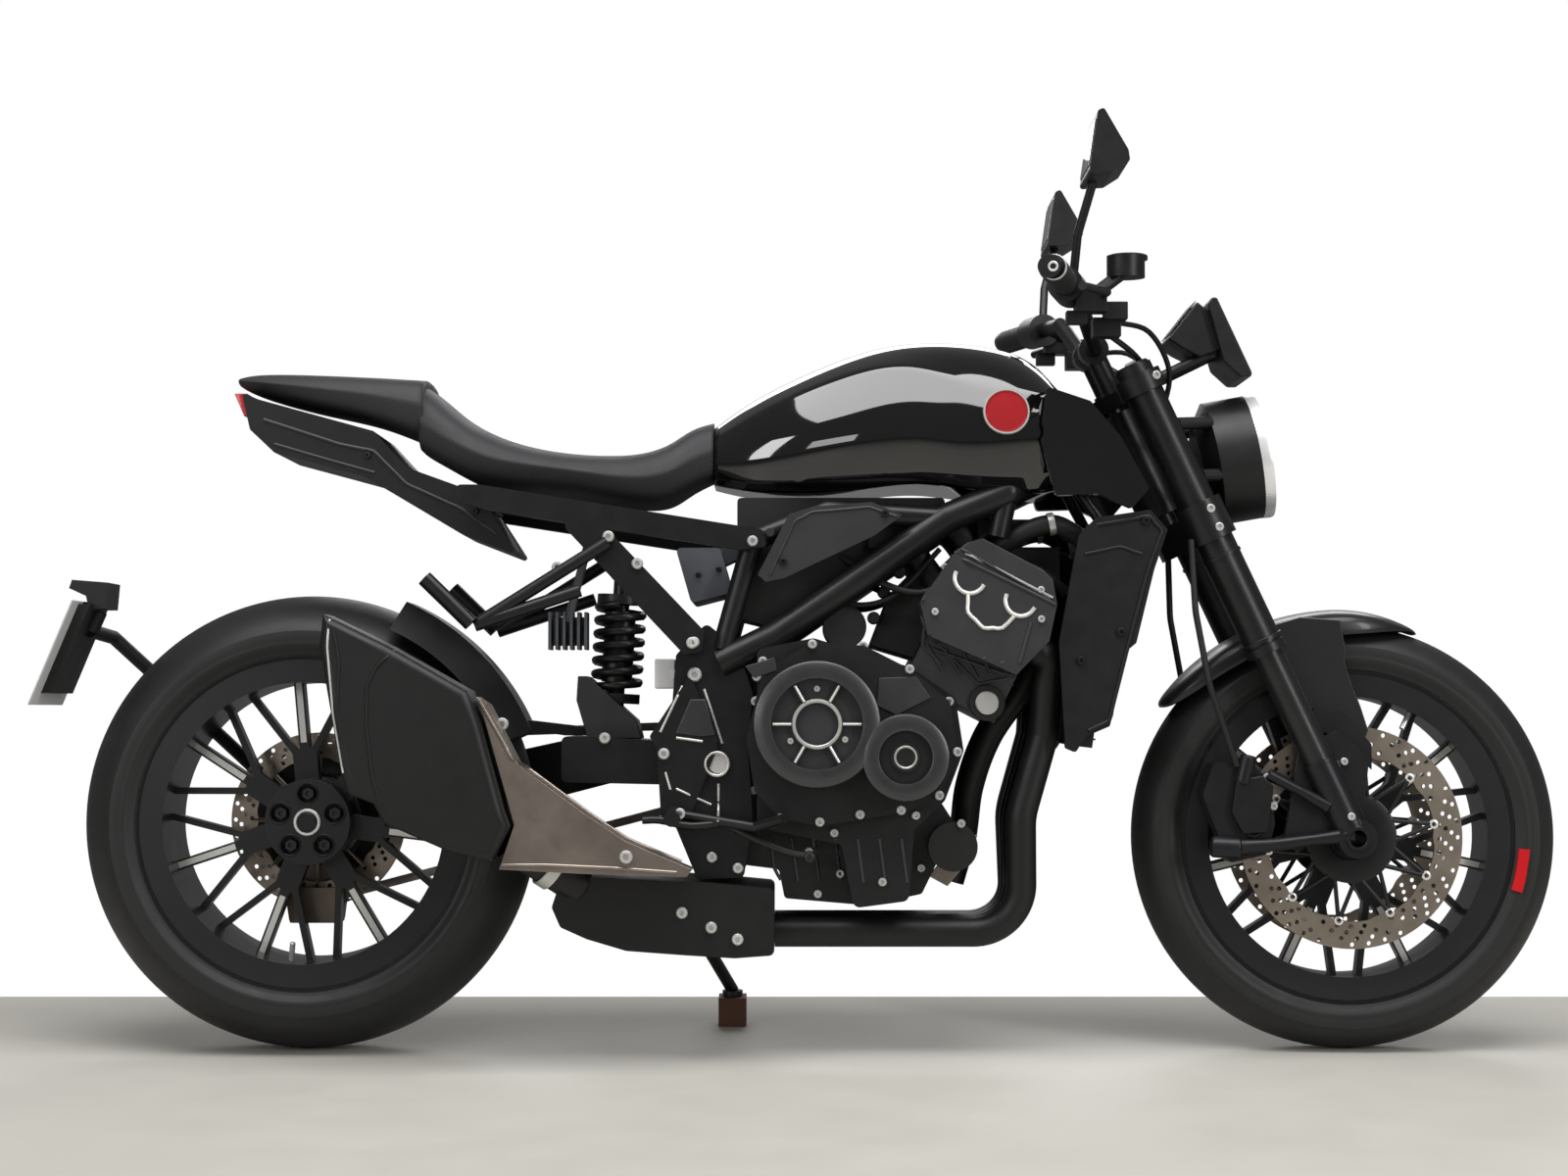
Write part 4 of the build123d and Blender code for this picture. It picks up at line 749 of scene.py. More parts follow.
CASE_BOLTS = [
    (18, 566), (88, 565), (151, 532), (206, 488), (216, 419), (191, 360), (139, 340), (83, 334),
    (28, 324), (-25, 329), (-63, 365), (-76, 436), (-97, 497), (-90, 522), (-50, 543),
]
SUMP_BOLTS = [(14, 281), (48, 308), (57, 250), (114, 241), (160, 332), (169, 258), (26, 222), (228, 334)]
CLUTCH = (24, 457)
STARTER = (144, 412)
WATER_PLUG = (258, 486)


def engine_details():
    skin = Skin("right_cover", "clutch_cover", "crankcase", "cylinders", "head_cover", "oil_filter")
    bolts = Shape()
    studs(bolts, skin, CASE_BOLTS, 6.5)
    studs(bolts, skin, SUMP_BOLTS, 6)
    studs(bolts, skin, [(24, 505), (-12, 434), (62, 436)], 4.5)
    studs(bolts, skin, [(330, 600), (185, 610), (190, 680), (330, 640)], 5)
    piece("engine_bolts", bolts, BRIGHT)

    ridges = Shape()
    laid_lines(ridges, skin, [
        (2.6, (209, 689), (256, 666), (303, 643), (349, 620)),
        (2.2, (209, 703), (342, 627)),
        (2.6, (169, 641), (167, 592), (246, 512), (306, 524)),
    ])
    for x in range(-40, 141, 30):
        laid_line(ridges, skin, [(x, 300), (x + 8, 240)], 2.4)
    for step in range(5):
        x, z = 176 + 25 * step, 566 - 6 * step
        laid_line(ridges, skin, [(x, z), (x + 20, z - 34)], 2.6)
    laid_lines(ridges, skin, [
        (3, (184, 560), (300, 520)),
        (2.6, (176, 640), (150, 584), (196, 540)),
        (2.6, (316, 596), (300, 540)),
    ])
    piece("engine_ridges", ridges, CASE_GREY_AND_PAINTED_REFLECTION, angle=60)

    rings = Shape()
    for (x, z), reach, profile, count in (
        (CLUTCH, 72, [(86, -2), (85.4, 1.6), (82, 3.4), (66, 5.2), (62.4, 4.4), (62, -2)], 96),
        (STARTER, 45, [(59, -2), (58.4, 1.2), (55, 2.8), (39, 3.8), (36.4, 3), (36, -2)], 72),
    ):
        face = skin.land(x + reach, z)
        lathe(rings, (x, face.y, z), TO_RIGHT, profile, count, closed=True)
    piece("cover_rings", rings, BEZEL)

    bright = Shape()
    hub = skin.land(CLUTCH[0] + 32, CLUTCH[1])
    collar(bright, (CLUTCH[0], hub.y, CLUTCH[1]), TO_RIGHT, 29, 34, 1.2, 56)
    centre = Vector((CLUTCH[0], hub.y - 0.6, CLUTCH[1]))
    for index in range(6):
        out = outward(math.radians(60 * index))
        round_bar(bright, centre + 35 * out, centre + 60 * out, 2.0, 8)
    collar(bright, skin.land(*STARTER), TO_RIGHT, 13, 16, 1.4, 40)
    laid_lines(bright, skin, [
        (3.0, (230, 634), (230, 609), (251, 588), (277, 588), (293, 604)),
        (1.8, (212, 697), (260, 674), (346, 629)),
    ])
    for x, z in ((233, 656), (302, 625)):
        turns = [math.radians(154 + 18 * step) for step in range(11)]
        laid_line(bright, skin, [(x + 21 * math.cos(t), z + 21 * math.sin(t)) for t in turns], 3.2)
    piece("cover_machined_lines", bright, MACHINED)

    plug = skin.land(*WATER_PLUG)
    boss = Shape()
    collar(boss, plug, TO_RIGHT, 3, 25, 5, 40)
    piece("water_plug_boss", boss, MATTE)
    cap = Shape()
    lathe(cap, plug + Vector((0, RIGHT * 5, 0)), TO_RIGHT,
          [(16, -2), (16, 2.4), (14.6, 3.6), (0.02, 4)], 40)
    piece("water_plug_cap", cap, MACHINED)

    # Raised facets on the case. The shape is real; their lighter grey is a painted reflection of a window.
    facets = Shape()
    laid_patch(facets, skin, [(109, 520), (160, 522), (180, 493), (133, 469), (106, 482)], 2.5)
    laid_patch(facets, skin, [(-62, 520), (-30, 530), (-34, 548), (-74, 536)], 2.0)
    piece("case_facets_painted_reflection", facets, CASE_GREY_AND_PAINTED_REFLECTION, bevel=1.0)


engine_details()


def plate_details():
    """The fixings of the pivot plates, footrests and linkage on the right."""
    skin = Skin("main_frame", "pivot_bolt", "swingarm", "rider_footrests", "passenger_footrests",
                "subframe")
    bolts = Shape()
    studs(bolts, skin, [(-162, 336), (-120, 274), (-84, 259), (-144, 569), (-64, 708)], 7.5)
    studs(bolts, skin, [(-144, 525)], 10)
    studs(bolts, skin, [(-186, 416)], 8)
    studs(bolts, skin, [(-147, 568), (-268, 478), (-262, 714), (-222, 677), (-343, 690)], 8)
    piece("plate_bolts", bolts, BRIGHT)
    trim = Shape()
    laid_lines(trim, skin, [
        (2.0, (-161, 509), (-191, 446)),
        (2.0, (-131, 505), (-106, 430)),
        (2.0, (-169, 438), (-133, 433)),
        (1.8, (-184, 391), (-177, 367)),
        (1.8, (-169, 368), (-121, 346)),
        (1.8, (-111, 375), (-111, 324)),
    ])
    collar(trim, skin.land(-113, 402), TO_RIGHT, 14, 18, 3)
    piece("plate_machined_lines", trim, MACHINED, angle=60)
    face = Shape()
    laid_patch(face, skin, [(-150, 491), (-129, 491), (-115, 442), (-134, 440), (-170, 444)], 2)
    plate(face, [(-311, 524), (-297, 524), (-228, 462), (-221, 436), (-297, 436), (-313, 490)], -45, 45)
    piece("linkage_faces", face, BEZEL, bevel=1.5, angle=35)
    pale = Shape()
    block(pale, (-200, -108, 506), (-172, -70, 547))
    block(pale, (-176, -112, 518), (-150, -104, 532))
    piece("pale_sensor_box", pale, PLATE, bevel=2)


plate_details()


SPRING_LOW = Vector((-262, 0, 456))
SPRING_HIGH = Vector((-250, 0, 676))
SPRING_TURNS = 6.5
SPRING_START = 46
SPRING_LENGTH = 124
SPRING_RADIUS = 32
POINTS_PER_TURN = 14


def shock_spring():
    """A coil about the shock, which stands between its two ends in the middle of the machine."""
    run = (SPRING_HIGH - SPRING_LOW).normalized()
    side, up = basis(run)
    coil = []
    for i in range(int(SPRING_TURNS * POINTS_PER_TURN) + 1):
        turn = 2 * math.pi * i / POINTS_PER_TURN
        along = SPRING_START + SPRING_LENGTH * i / (SPRING_TURNS * POINTS_PER_TURN)
        coil.append(SPRING_LOW + along * run + SPRING_RADIUS * (math.cos(turn) * side + math.sin(turn) * up))
    spring = Shape()
    tube(spring, coil, 6, 8, 1)
    piece("shock_spring", spring, DARK_BOLT, angle=60)


shock_spring()


def brake_pedal():
    """The pedal and its rod, as two thin bars on the right."""
    y = -152
    pedal = Shape()
    for path in (
        [(-104, y, 322), (-150, y - 6, 318), (-190, y - 10, 326), (-214, y - 14, 326)],
        [(-104, y, 322), (-60, y + 2, 300), (-20, y - 4, 284), (20, y - 16, 276)],
    ):
        tube(pedal, path, 5.5, 10, 4)
    round_bar(pedal, (14, y - 22, 276), (14, y + 2, 276), 8, 14, 1.5)
    piece("brake_pedal_trim", pedal, DARK_BOLT, angle=60)


brake_pedal()


def exhaust_details():
    skin = Skin("muffler")
    dark = Shape()
    laid_lines(dark, skin, [
        (2.2, (-544, 556), (-567, 535), (-580, 509), (-581, 456), (-573, 390), (-557, 332)),
        (2.0, (-626, 586), (-618, 540), (-620, 480), (-610, 400)),
    ])
    piece("muffler_seams", dark, EXHAUST, angle=60)
    bright = Shape()
    laid_line(bright, skin, [(-632, 598), (-634, 560), (-626, 470), (-612, 392)], 1.6)
    shield = Skin("heat_shield")
    studs(bright, shield, [(-233, 279), (-400, 460)], 9)
    studs(bright, Skin("exhaust_chamber"), [(-160, 200), (-120, 180), (-84, 164)], 8)
    piece("exhaust_bolts", bright, BRIGHT)
    edge = Shape()
    laid_lines(edge, shield, [
        (3, (-431, 488), (-416, 462), (-386, 410), (-330, 368), (-284, 334), (-234, 304), (-160, 270)),
        (2.4, (-400, 268), (-340, 268), (-250, 264), (-165, 258)),
    ])
    piece("shield_edges", edge, SHIELD, angle=60)
    clamp = Shape()
    start, end = Vector((-300, -140, 235)), Vector((-396, -180, 300))
    run = (end - start).normalized()
    collar(clamp, start + 44 * run, run, 27.5, 31, 16, 40)
    piece("link_pipe_clamp", clamp, MACHINED)


exhaust_details()


FIN_COUNT = 15


def cover_details():
    """Fixings and seams of the side cover, tail, grey boxes and shrouds."""
    covers, tail, shrouds = Skin("side_covers"), Skin("tail_cowl"), Skin("radiator_shrouds")
    line = Shape()
    laid_line(line, covers, [(-40, 662), (-6, 735), (18, 748), (96, 755), (134, 742)], 2.0)
    laid_lines(line, tail, [
        (2.4, (-745, 880), (-640, 846), (-592, 836), (-545, 790), (-470, 756), (-420, 720)),
        (2.0, (-730, 846), (-648, 822), (-590, 806)),
    ])
    piece("cover_lines", line.mirrored(), COVER, angle=60)
    bolts = Shape()
    studs(bolts, covers, [(-22, 680), (118, 746)], 5.5)
    studs(bolts, tail, [(-600, 830), (-450, 752)], 5)
    studs(bolts, shrouds, [(476, 736), (441, 583), (386, 544)], 6)
    bolts.mirrored()
    studs(bolts, Skin("electrics"), [(-140, 664), (-112, 672)], 4)
    piece("cover_bolts", bolts, DARK_BOLT)
    raised = Shape()
    laid_lines(raised, shrouds, [
        (3, (396, 728), (480, 742), (498, 722), (478, 666), (452, 570), (424, 462), (396, 448)),
        (2.4, (392, 690), (440, 700), (470, 690)),
    ])
    piece("shroud_ridges", raised.mirrored(), PLASTIC, angle=60)
    fins = Shape()
    for index in range(FIN_COUNT):
        t = (index + 0.5) / FIN_COUNT
        x, z = 404 + 42 * t, 426 + 298 * t
        block(fins, (x - 3, -146, z - 1.2), (x + 1.4, 146, z + 1.2))
    piece("radiator_fins", fins, DARK_BOLT)


cover_details()


SPOKE_GROUPS = 7
WHEEL_NUTS = 5
NUT_CIRCLE = 40
REAR_HUB_FACE = Vector((REAR_AXLE.x, -46, REAR_AXLE.z))
# name, centre, angle of the first group of spokes, half width of the rim, angle of the valve
WHEELS = [("front", FRONT_AXLE, 90.6, 51, 62), ("rear", REAR_AXLE, 95.5, 83, -97)]


def wheel_details(name, centre, first, half, valve_angle):
    """Machined faces on the wide spokes, the rim's bright lips and the valve."""
    body = f"{name}_wheel"
    faces = Shape()
    for group in range(SPOKE_GROUPS):
        out = outward(math.radians(first + group * 360 / SPOKE_GROUPS))
        along = Vector((-out.z, 0, out.x))
        near, far, wide = centre + 112 * out, centre + 206 * out, 4.2 * along
        outline = [(p.x, p.z) for p in (near - wide, far - wide, far + wide, near + wide)]
        for y in (-13.6, 12.6):
            plate(faces, outline, y, y + 1)
    piece(f"{name}_spoke_faces", faces, MACHINED, body)
    lips = Shape()
    for side in (-1, 1):
        profile = [(228, half - 1), (232.6, half - 1), (232.6, half + 0.8), (228, half + 0.4)]
        lathe(lips, centre, (0, side, 0), profile, 120, closed=True)
    piece(f"{name}_rim_lips", lips, GLOSS, body)
    valve = Shape()
    out = outward(math.radians(valve_angle))
    start = centre + 196 * out + Vector((0, -26, 0))
    round_bar(valve, start, start - 26 * out + Vector((0, -8, 0)), 4, 12, 1)
    piece(f"{name}_valve", valve, BRIGHT, body)


def rear_hub():
    hub, nuts, cap = Shape(), Shape(), Shape()
    collar(hub, REAR_HUB_FACE, TO_RIGHT, 14.5, 19, 4, 48)
    lathe(cap, REAR_HUB_FACE, TO_RIGHT, [(14, -6), (14, 3), (12, 5), (0.02, 5)], 40)
    for nut in range(WHEEL_NUTS):
        place = REAR_HUB_FACE + NUT_CIRCLE * outward(math.radians(90 + nut * 360 / WHEEL_NUTS))
        lathe(nuts, place + Vector((0, 15, 0)), TO_RIGHT,
              [(10, 0), (10, 9), (8.6, 11), (4, 11), (3.6, 8), (0.02, 8)], 6)
        collar(cap, place, TO_RIGHT, 13.4, 16, 1.2, 32)
    piece("rear_hub_ring", hub, BRIGHT, "rear_wheel")
    piece("rear_wheel_nuts", nuts, DARK_BOLT, "rear_wheel")
    piece("rear_hub_cap", cap, FRAME, "rear_wheel")


def tyre_mark():
    """A plain red bar on the front tyre's wall."""
    skin = Skin("front_tyre")
    sections = []
    for radius in (238, 252):
        places = [FRONT_AXLE + radius * outward(math.radians(-4 - 14 * step / 8)) for step in range(9)]
        row = [skin.land(place.x, place.z) for place in places]
        sections.append([p + Vector((0, -3.6, 0)) for p in row]
                        + [p + Vector((0, 3, 0)) for p in reversed(row)])
    piece("tyre_red_bar", loft(Shape(), sections), RED, "front_wheel", angle=60)


for wheel in WHEELS:
    wheel_details(*wheel)
rear_hub()
tyre_mark()


SPROCKET_TEETH = 43
SPROCKET_HOLES = 20


def sprocket_teeth():
    """A toothed ring on the rear sprocket with bored lightening holes."""
    steps = SPROCKET_TEETH * 4
    outline = []
    for index in range(steps):
        radius = 99 if index % 4 in (0, 1) else 91
        turn = 2 * math.pi * index / steps
        outline.append((radius * math.cos(turn), radius * math.sin(turn)))
    holes = [ring_points(4, 16, place) for place in ring_points(79, SPROCKET_HOLES)]
    face = Skin("rear_sprocket").land(REAR_AXLE.x + 60, REAR_AXLE.z, -RIGHT)
    ring = cut_sheet(Shape(), [outline, ring_points(66, 72), *holes], face.y - 3, face.y + 1, REAR_AXLE)
    piece("rear_sprocket_ring", ring, CHAIN_STEEL, "rear_wheel")


sprocket_teeth()


FORK_TOP = 722
HEADLIGHT = Vector((660, 0, 839))
HEADLIGHT_TILT = math.radians(10)


def fork_details():
    skin = Skin("fork_bottoms", "front_calipers", "fork_tubes", "fork_sliders", "steering_yokes")
    bright = Shape()
    axle = skin.land(FRONT_AXLE.x, FRONT_AXLE.z + 20)
    collar(bright, (FRONT_AXLE.x, axle.y, FRONT_AXLE.z), TO_RIGHT, 12, 16, 2, 40)
    studs(bright, skin, [(596, 290), (662, 400), (612, 327), (615, 386), (669, 345)], 6)
    studs(bright, skin, [(755, 405), (760, 330)], 5.5)
    bright.mirrored()
    for forward, left, along in ((46, 137.5, 470), (46, 137.5, 498), (58, 132, 697)):
        for side in (-1, 1):
            bolt(bright, on_fork(forward, side * left, along), (0, side, 0), 6, 4)
    dark = Shape()
    for side in (-1, 1):
        leg = side * FORK_HALF_SPREAD
        top = on_fork(FORK_OFFSET, leg, FORK_TOP)
        lathe(bright, top, FORK_UP, [(9, -1), (9, 7), (7.6, 8), (0.02, 8)], 6)
        for along, inner, outer, height in (
            (FORK_TOP, 16, 24, 4), (284, 22.5, 29, 12), (300, 26.5, 30, 5), (430, 26.5, 28.6, 4),
        ):
            collar(dark, on_fork(FORK_OFFSET, leg, along), FORK_UP, inner, outer, height, 40)
    piece("fork_bolts", bright, BRIGHT, "fork")
    for x, z in ((622, 350), (628, 314)):
        for side in (RIGHT, -RIGHT):
            collar(dark, skin.land(x, z, side), (0, side, 0), 9, 15, 3, 40)
    piece("fork_rings", dark, FRAME, "fork")


def caliper_arms():
    arms = Shape()
    for side in (-1, 1):
        y = side * 116
        long_arm = [(766, side * 118, 304), (712, y, 298), (657, y, 291), (600, y, 287)]
        tube(arms, long_arm, [12, 8, 9, 12], 12, 5)
        tube(arms, [(732, side * 118, 342), (690, y, 366), (648, y, 388)], [10, 7, 9], 12, 5)
        round_bar(arms, (568, y, 288), (610, y, 286), 15, 20, 3)
        round_bar(arms, (612, y, 374), (622, y, 414), 12, 20, 3)
        outline = [(612, 306), (646, 308), (655, 372), (640, 386), (604, 380), (596, 336)]
        plate(arms, outline, *sorted((side * 108, side * 124)))
    piece("caliper_arms", arms, CARBON_GREY, "fork", bevel=3, angle=40)


def headlight():
    """The bright bezel and, behind the lens, a polished dish with its bulb."""
    shine = outward(HEADLIGHT_TILT)
    bezel = Shape()
    lathe(bezel, HEADLIGHT, shine, [
        (83, -14), (83, -1), (85, 1.4), (88.6, 0.6), (89.4, -3), (88.4, -14),
    ], 96, closed=True)
    piece("headlight_bezel", bezel, CHROME, "fork")
    dish = Shape()
    lathe(dish, HEADLIGHT, shine, [
        (80, -21), (60, -52), (30, -64), (8, -66), (8, -60), (28, -58), (58, -46), (78, -18),
    ], 72, closed=True)
    lathe(dish, HEADLIGHT - 66 * shine, shine, [(6, 0), (6, 24), (4, 27), (0.02, 27)], 24)
    piece("headlight_dish", dish, MIRROR_GLASS, "fork")


fork_details()
caliper_arms()
headlight()


def mirror_glasses():
    mirrors = Skin("mirrors")
    widths = [abs(c.y) for c in mirrors.corners if c.z > 1186]
    low, high = min(widths) + 8, max(widths) - 8
    faces = Shape()
    for side in (-1, 1):
        corners = ((low, 1190), (high, 1190), (high, 1252), (low, 1252))
        spots = [mirrors.cast((250, side * y, z), (1, 0, 0)) for y, z in corners]
        loft(faces, [[p + Vector((depth, 0, 0)) for p in spots] for depth in (-1.6, 0.6)])
    piece("mirror_glasses", faces, MIRROR_GLASS, "fork", bevel=0.6)


BAR_BEND = (4, 140, 837)
GRIP_RIBS = 16


def grip_details():
    """Rings at the bars' ends and ribs round the grips."""
    grips = Skin("handlebar", "grips")
    tip = max(c.y for c in grips.corners)
    tips = [c for c in grips.corners if c.y > tip - 6]
    end = sum(tips, Vector()) / len(tips)
    run = (end - on_fork(*BAR_BEND)).normalized()
    rings, ribs = Shape(), Shape()
    for side in (1, -1):
        place, way = Vector((end.x, side * end.y, end.z)), Vector((run.x, side * run.y, run.z))
        collar(rings, place, way, 4, 7, 2, 24)
        collar(rings, place - 10 * way, way, 15.6, 17, 6, 32)
        for index in range(GRIP_RIBS):
            lathe(ribs, place - (20 + 6.4 * index) * way, way,
                  [(16, 0), (17.3, 1), (17.3, 3.4), (16, 4.4)], 28, closed=True)
    piece("bar_end_rings", rings, BRIGHT, "fork")
    piece("grip_ribs", ribs, GRIP, "fork")


def switch_details():
    """The fluid cup's lid, and the switch blocks and cables beside the grips."""
    lid = Shape()
    lathe(lid, (449, -200, 1094), (0, 0, 1), [(27, -4), (27, 1.5), (25, 3), (0.02, 3.4)], 40)
    piece("fluid_cup_lid", lid, PLASTIC, "fork")
    pods = Shape()
    for side in (-1, 1):
        for (x0, y0, z0), (x1, y1, z1) in (
            ((372, 222, 1012), (414, 262, 1046)), ((400, 176, 984), (438, 214, 1010)),
            ((414, 196, 1006), (446, 226, 1030)), ((360, 232, 996), (388, 254, 1014)),
        ):
            y_low, y_high = sorted((side * y0, side * y1))
            block(pods, (x0, y_low, z0), (x1, y_high, z1))
        for radius, *route in (
            (4.5, (420, 150, 1000), (470, 110, 968), (500, 60, 930), (490, 30, 880)),
            (4, (430, 196, 1006), (486, 130, 1000), (520, 80, 950), (512, 50, 890)),
        ):
            tube(pods, [(x, side * y, z) for x, y, z in route], radius, 10, 6)
    piece("switch_pods", pods, PLASTIC, "fork", bevel=3)


def display():
    dash = Shape()
    plate(dash, [(521, 1000), (563, 1053), (582, 1036), (596, 985), (566, 974), (540, 987)], -58, 58)
    piece("display_housing", dash, PLASTIC, "fork", bevel=3)
    hood = Shape()
    plate(hood, [
        (576, 1048), (582, 1057), (589, 1057), (638, 950), (636, 944), (622, 944), (598, 966),
    ], -71, 71)
    for side in (-1, 1):
        round_bar(hood, on_fork(46, side * 40, 695), (592, side * 40, 985), 8, 14)
    item = piece("display_hood", hood, PLASTIC, "fork", bevel=2.4)
    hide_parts("instrument")
    screen = Shape()
    plate(screen, [(526, 1008), (562, 1053.5), (561, 1054.5), (525, 1009)], -50, 50)
    piece("display_screen", screen, SCREEN, "fork", bevel=0.3)


mirror_glasses()
grip_details()
switch_details()
display()


def intake_boots():
    """Intakes and plain boxes between the tank and the head."""
    boots = Shape()
    for index in range(4):
        y = (index - 1.5) * 50
        tube(boots, [(250, y, 690), (222, y, 726), (184, y, 752)], [21, 19, 21], 20, 6)
    block(boots, (296, -78, 640), (366, 78, 704))
    block(boots, (250, -92, 716), (330, 92, 742))
    block(boots, (96, -104, 700), (176, -92, 738))
    plate(boots, [(100, 566), (160, 548), (182, 596), (196, 652), (172, 684), (128, 640)], -84, 84)
    for x, z in ((118, 640), (140, 668), (104, 604)):
        round_bar(boots, (x, -104, z), (x, -84, z), 9, 16, 2)
    piece("intake_boots", boots, MATTE, bevel=3, angle=40)


def engine_hoses():
    """Hoses between the head, the frame and the radiator."""
    hoses = Shape()
    for side in (-1, 1):
        for radius, count, steps, *route in (
            (14, 14, 8, (398, 96, 712), (352, 104, 734), (300, 100, 716), (270, 84, 690)),
            (9, 12, 6, (372, 84, 640), (340, 96, 664), (316, 88, 676)),
            (5, 10, 8, (60, 94, 690), (120, 112, 650), (176, 116, 640), (214, 104, 676), (262, 96, 724)),
            (4, 10, 8, (30, 92, 640), (86, 104, 622), (140, 108, 640), (196, 100, 700)),
        ):
            tube(hoses, [(x, side * y, z) for x, y, z in route], radius, count, steps)
    tube(hoses, [(222, -110, 668), (196, -128, 640), (186, -124, 604), (196, -100, 570)], 6, 10, 8)
    piece("engine_hoses", hoses, RUBBER, angle=60)


def inner_headers():
    """The pipes behind the outer header, and the guard where they meet."""
    guard = Shape()
    plate(guard, [(180, 246), (222, 300), (248, 303), (236, 268), (206, 232)], -92, -88)
    piece("collector_guard", guard, SHIELD, bevel=1)
    pipes = Shape()
    for y in (-62, -8, 46):
        tube(pipes, [(340, y, 560), (314, y, 508), (268, y * 0.8, 440), (242, y * 0.7, 370),
                     (232, y * 0.6, 300), (214, y * 0.6, 236)], 18, 16, 8)
    piece("inner_headers", pipes, EXHAUST, angle=60)


def hose_clips():
    clips = Shape()
    for (x, y, z), axis in (
        ((398, 98, 712), (1, 0, 0.2)), ((352, 104, 734), (1, 0, 0.2)), ((270, 86, 692), (1, 0, -1)),
    ):
        for side in (-1, 1):
            collar(clips, (x - 4, side * y, z), axis, 14, 16, 8, 28)
    piece("hose_clips", clips, MACHINED)


intake_boots()
engine_hoses()
inner_headers()
hose_clips()


FENDER_WALL = 3
FENDER_STATIONS = [
    # angle from level, crown radius, half width, radius of the side edge
    (69, 309, 8, 306), (73, 313, 34, 302), (79, 317, 55, 292), (86, 321, 66, 284), (95, 323, 70, 282),
    (108, 324, 71, 284), (120, 324, 70, 286), (132, 323, 66, 290), (140, 322, 56, 298),
    (145, 322, 36, 310),
]
FENDER_PLATE = [
    (640, 588), (700, 606), (756, 602), (764, 560), (762, 544), (772, 510), (783, 483), (794, 448),
    (780, 412), (757, 398), (738, 396), (706, 440), (668, 510), (630, 572),
]


def fender():
    """The front mudguard: a crowned skin drawn to a point ahead, and a plate to each fork leg."""
    sections = []
    for degrees, crown, half, edge in FENDER_STATIONS:
        out = outward(math.radians(degrees))
        line = [(half, edge), (half, (edge + crown) / 2), (0.86 * half, crown - 8),
                (0.5 * half, crown - 2.5), (0, crown)]
        outer = line + [(-y, r) for y, r in reversed(line[:-1])]
        inner = [(y * (half - FENDER_WALL) / half, r - FENDER_WALL) for y, r in reversed(outer)]
        inner[0] = (inner[0][0], edge)
        inner[-1] = (inner[-1][0], edge)
        sections.append([FRONT_AXLE + r * out + Vector((0, y, 0)) for y, r in outer + inner])
    item = piece("front_fender_skin", loft(Shape(), sections), SATIN, "fork", subdivide=2)
    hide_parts("front_fender")
    plates = Shape()
    foot = [(650, 584), (700, 600), (754, 598), (754, 586), (700, 588), (654, 574)]
    for side in (-1, 1):
        plate(plates, FENDER_PLATE, *sorted((side * 78, side * 82)))
        plate(plates, foot, *sorted((side * 66, side * 80)))
    piece("fender_side_plates", plates, SATIN, "fork", bevel=1.6)


fender()


# Stage, light and camera

FLOOR_HALF = 9
FLOOR_BACK = 0.493
WORLD_LIGHT = 0.16
FRAME_WIDTH_PX = 1600
SENSOR_MM = 36
CAMERA_FOCAL_PX = 3104.7
CAMERA_SHIFT_PX = -36
CAMERA_X = -20.8
CAMERA_DISTANCE = 4.3
CAMERA_HEIGHT = 0.6994
LAMPS = [
    # name, place, aim, width, height, watts
    ("top_panel", (0, -1.0, 3.0), (0, -0.1, 0.6), 3.6, 1.8, 125),
    ("front_panel", (-2.4, -4.2, 1.3), (-0.2, 0, 0.7), 1.3, 0.9, 16),
    ("right_strip", (2.6, -2.6, 1.7), (0.3, 0, 0.7), 0.5, 2.0, 42),
    ("left_strip", (-2.8, -2.4, 1.5), (-0.4, 0, 0.6), 0.4, 1.8, 20),
    ("back_fill", (0.4, 3.0, 2.2), (0, 0, 0.6), 3.0, 1.0, 34),
]


def concrete():
    material = bpy.data.materials.new("pale_concrete")
    tree, shader = nodes_of(material)
    mottle(tree, shader, (0.50, 0.485, 0.44), 0.08, 2.2)
    tree.links.new(ramp(tree, noise_texture(tree, 9, 8), 0.38, 0.62), shader.inputs["Roughness"])
    bump(tree, shader, noise_texture(tree, 160, 6), 0.15, 0.001)
    return material


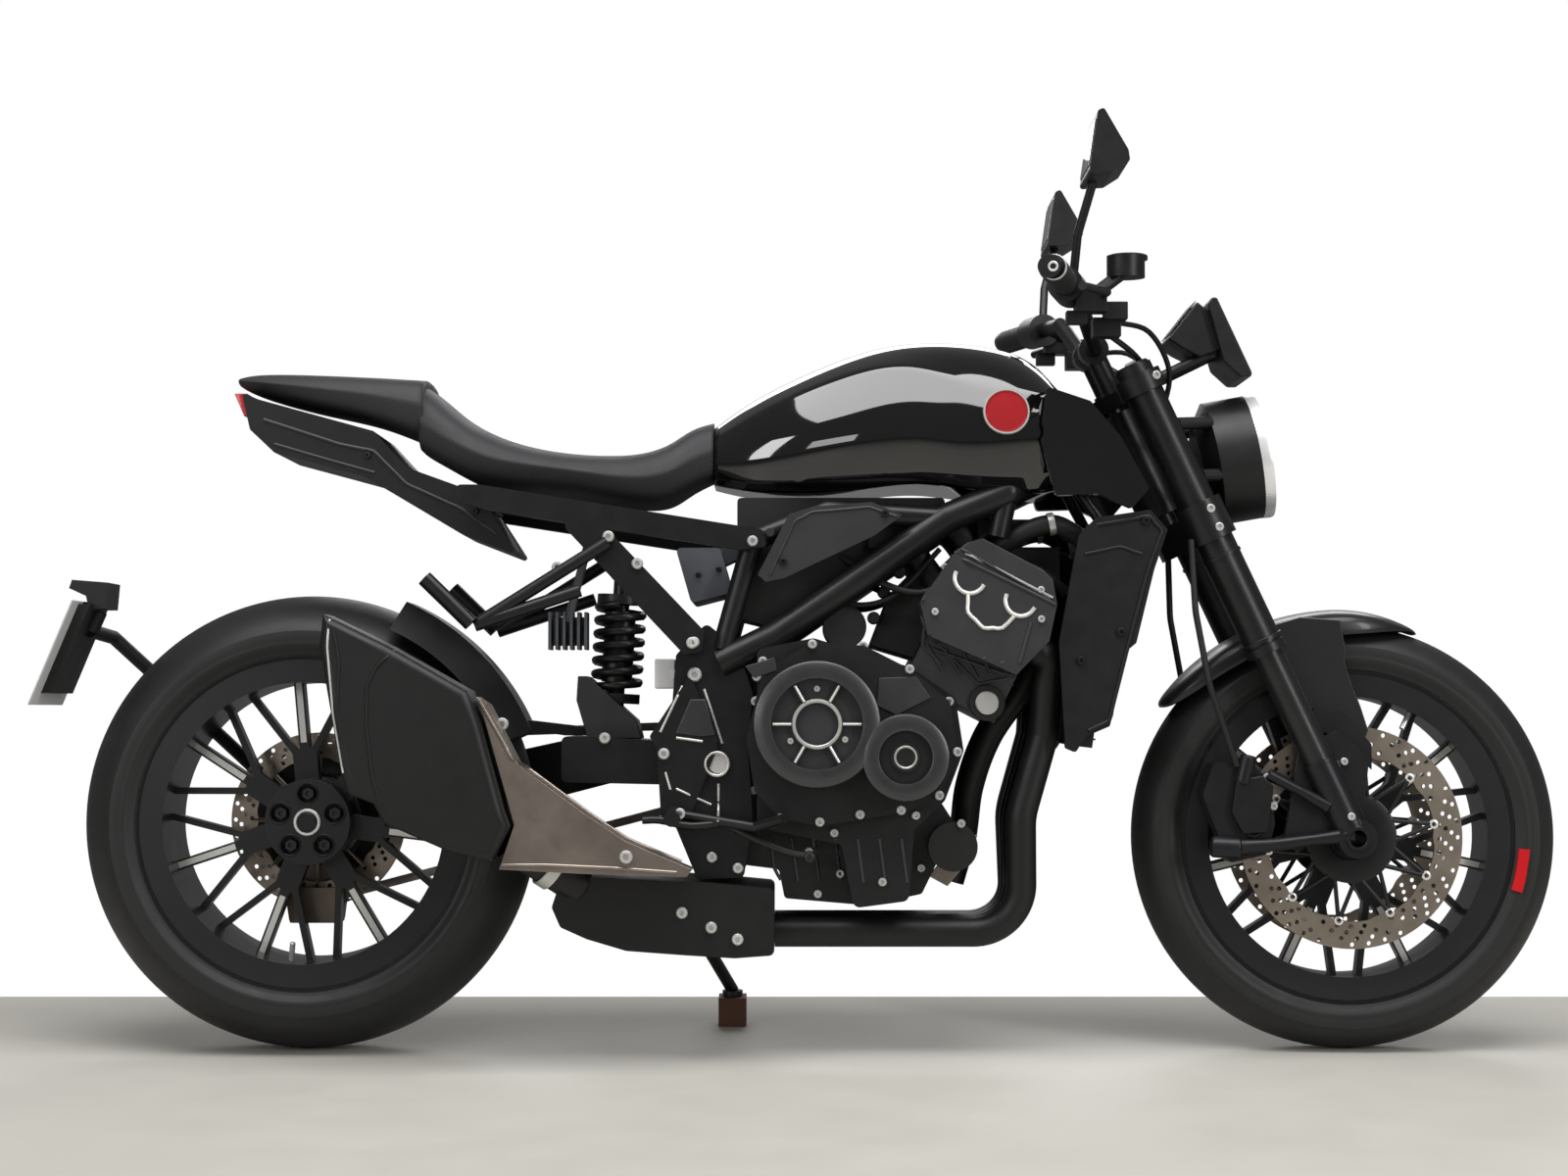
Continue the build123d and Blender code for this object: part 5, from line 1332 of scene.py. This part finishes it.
def stage():
    """A pale concrete floor that ends behind the machine, before plain white."""
    back = on_machine((0, 0, 0)).y + FLOOR_BACK
    corners = [(-FLOOR_HALF, -FLOOR_HALF, 0), (FLOOR_HALF, -FLOOR_HALF, 0), (FLOOR_HALF, back, 0),
               (-FLOOR_HALF, back, 0)]
    mesh = bpy.data.meshes.new("floor")
    mesh.from_pydata(corners, [], [[0, 1, 2, 3]])
    mesh.materials.append(concrete())
    floor = bpy.data.objects.new("floor", mesh)
    bpy.context.scene.collection.objects.link(floor)


def panel(name, place, aim, width, height, watts):
    """A soft rectangular light."""
    lamp = bpy.data.lights.new(name, "AREA")
    lamp.shape = "RECTANGLE"
    lamp.size = width
    lamp.size_y = height
    lamp.energy = watts
    item = bpy.data.objects.new(name, lamp)
    item.location = place
    item.rotation_euler = (Vector(aim) - Vector(place)).to_track_quat("-Z", "Y").to_euler()
    bpy.context.scene.collection.objects.link(item)


def sky():
    """White behind the machine for the camera, softer and dimmer in light and reflections."""
    world = bpy.data.worlds.new("studio")
    bpy.context.scene.world = world
    world.use_nodes = True
    tree = world.node_tree
    back = tree.nodes["Background"]
    path = tree.nodes.new("ShaderNodeLightPath")
    level = tree.nodes.new("ShaderNodeMix")
    level.inputs["A"].default_value = WORLD_LIGHT
    level.inputs["B"].default_value = 1.0
    tree.links.new(path.outputs["Is Camera Ray"], level.inputs["Factor"])
    tree.links.new(level.outputs["Result"], back.inputs["Strength"])
    back.inputs["Color"].default_value = (1, 1, 1, 1)


def camera():
    lens = bpy.data.cameras.new("camera")
    lens.sensor_width = SENSOR_MM
    lens.lens = SENSOR_MM * CAMERA_FOCAL_PX / FRAME_WIDTH_PX
    lens.shift_y = CAMERA_SHIFT_PX / FRAME_WIDTH_PX
    item = bpy.data.objects.new("camera", lens)
    ground = on_machine((CAMERA_X, 0, 0))
    item.location = (ground.x, ground.y - CAMERA_DISTANCE, CAMERA_HEIGHT)
    item.rotation_euler = (math.radians(90), 0, 0)
    bpy.context.scene.collection.objects.link(item)
    bpy.context.scene.camera = item


stage()
sky()
for lamp in LAMPS:
    panel(*lamp)
camera()
bpy.context.scene.view_settings.view_transform = "Standard"
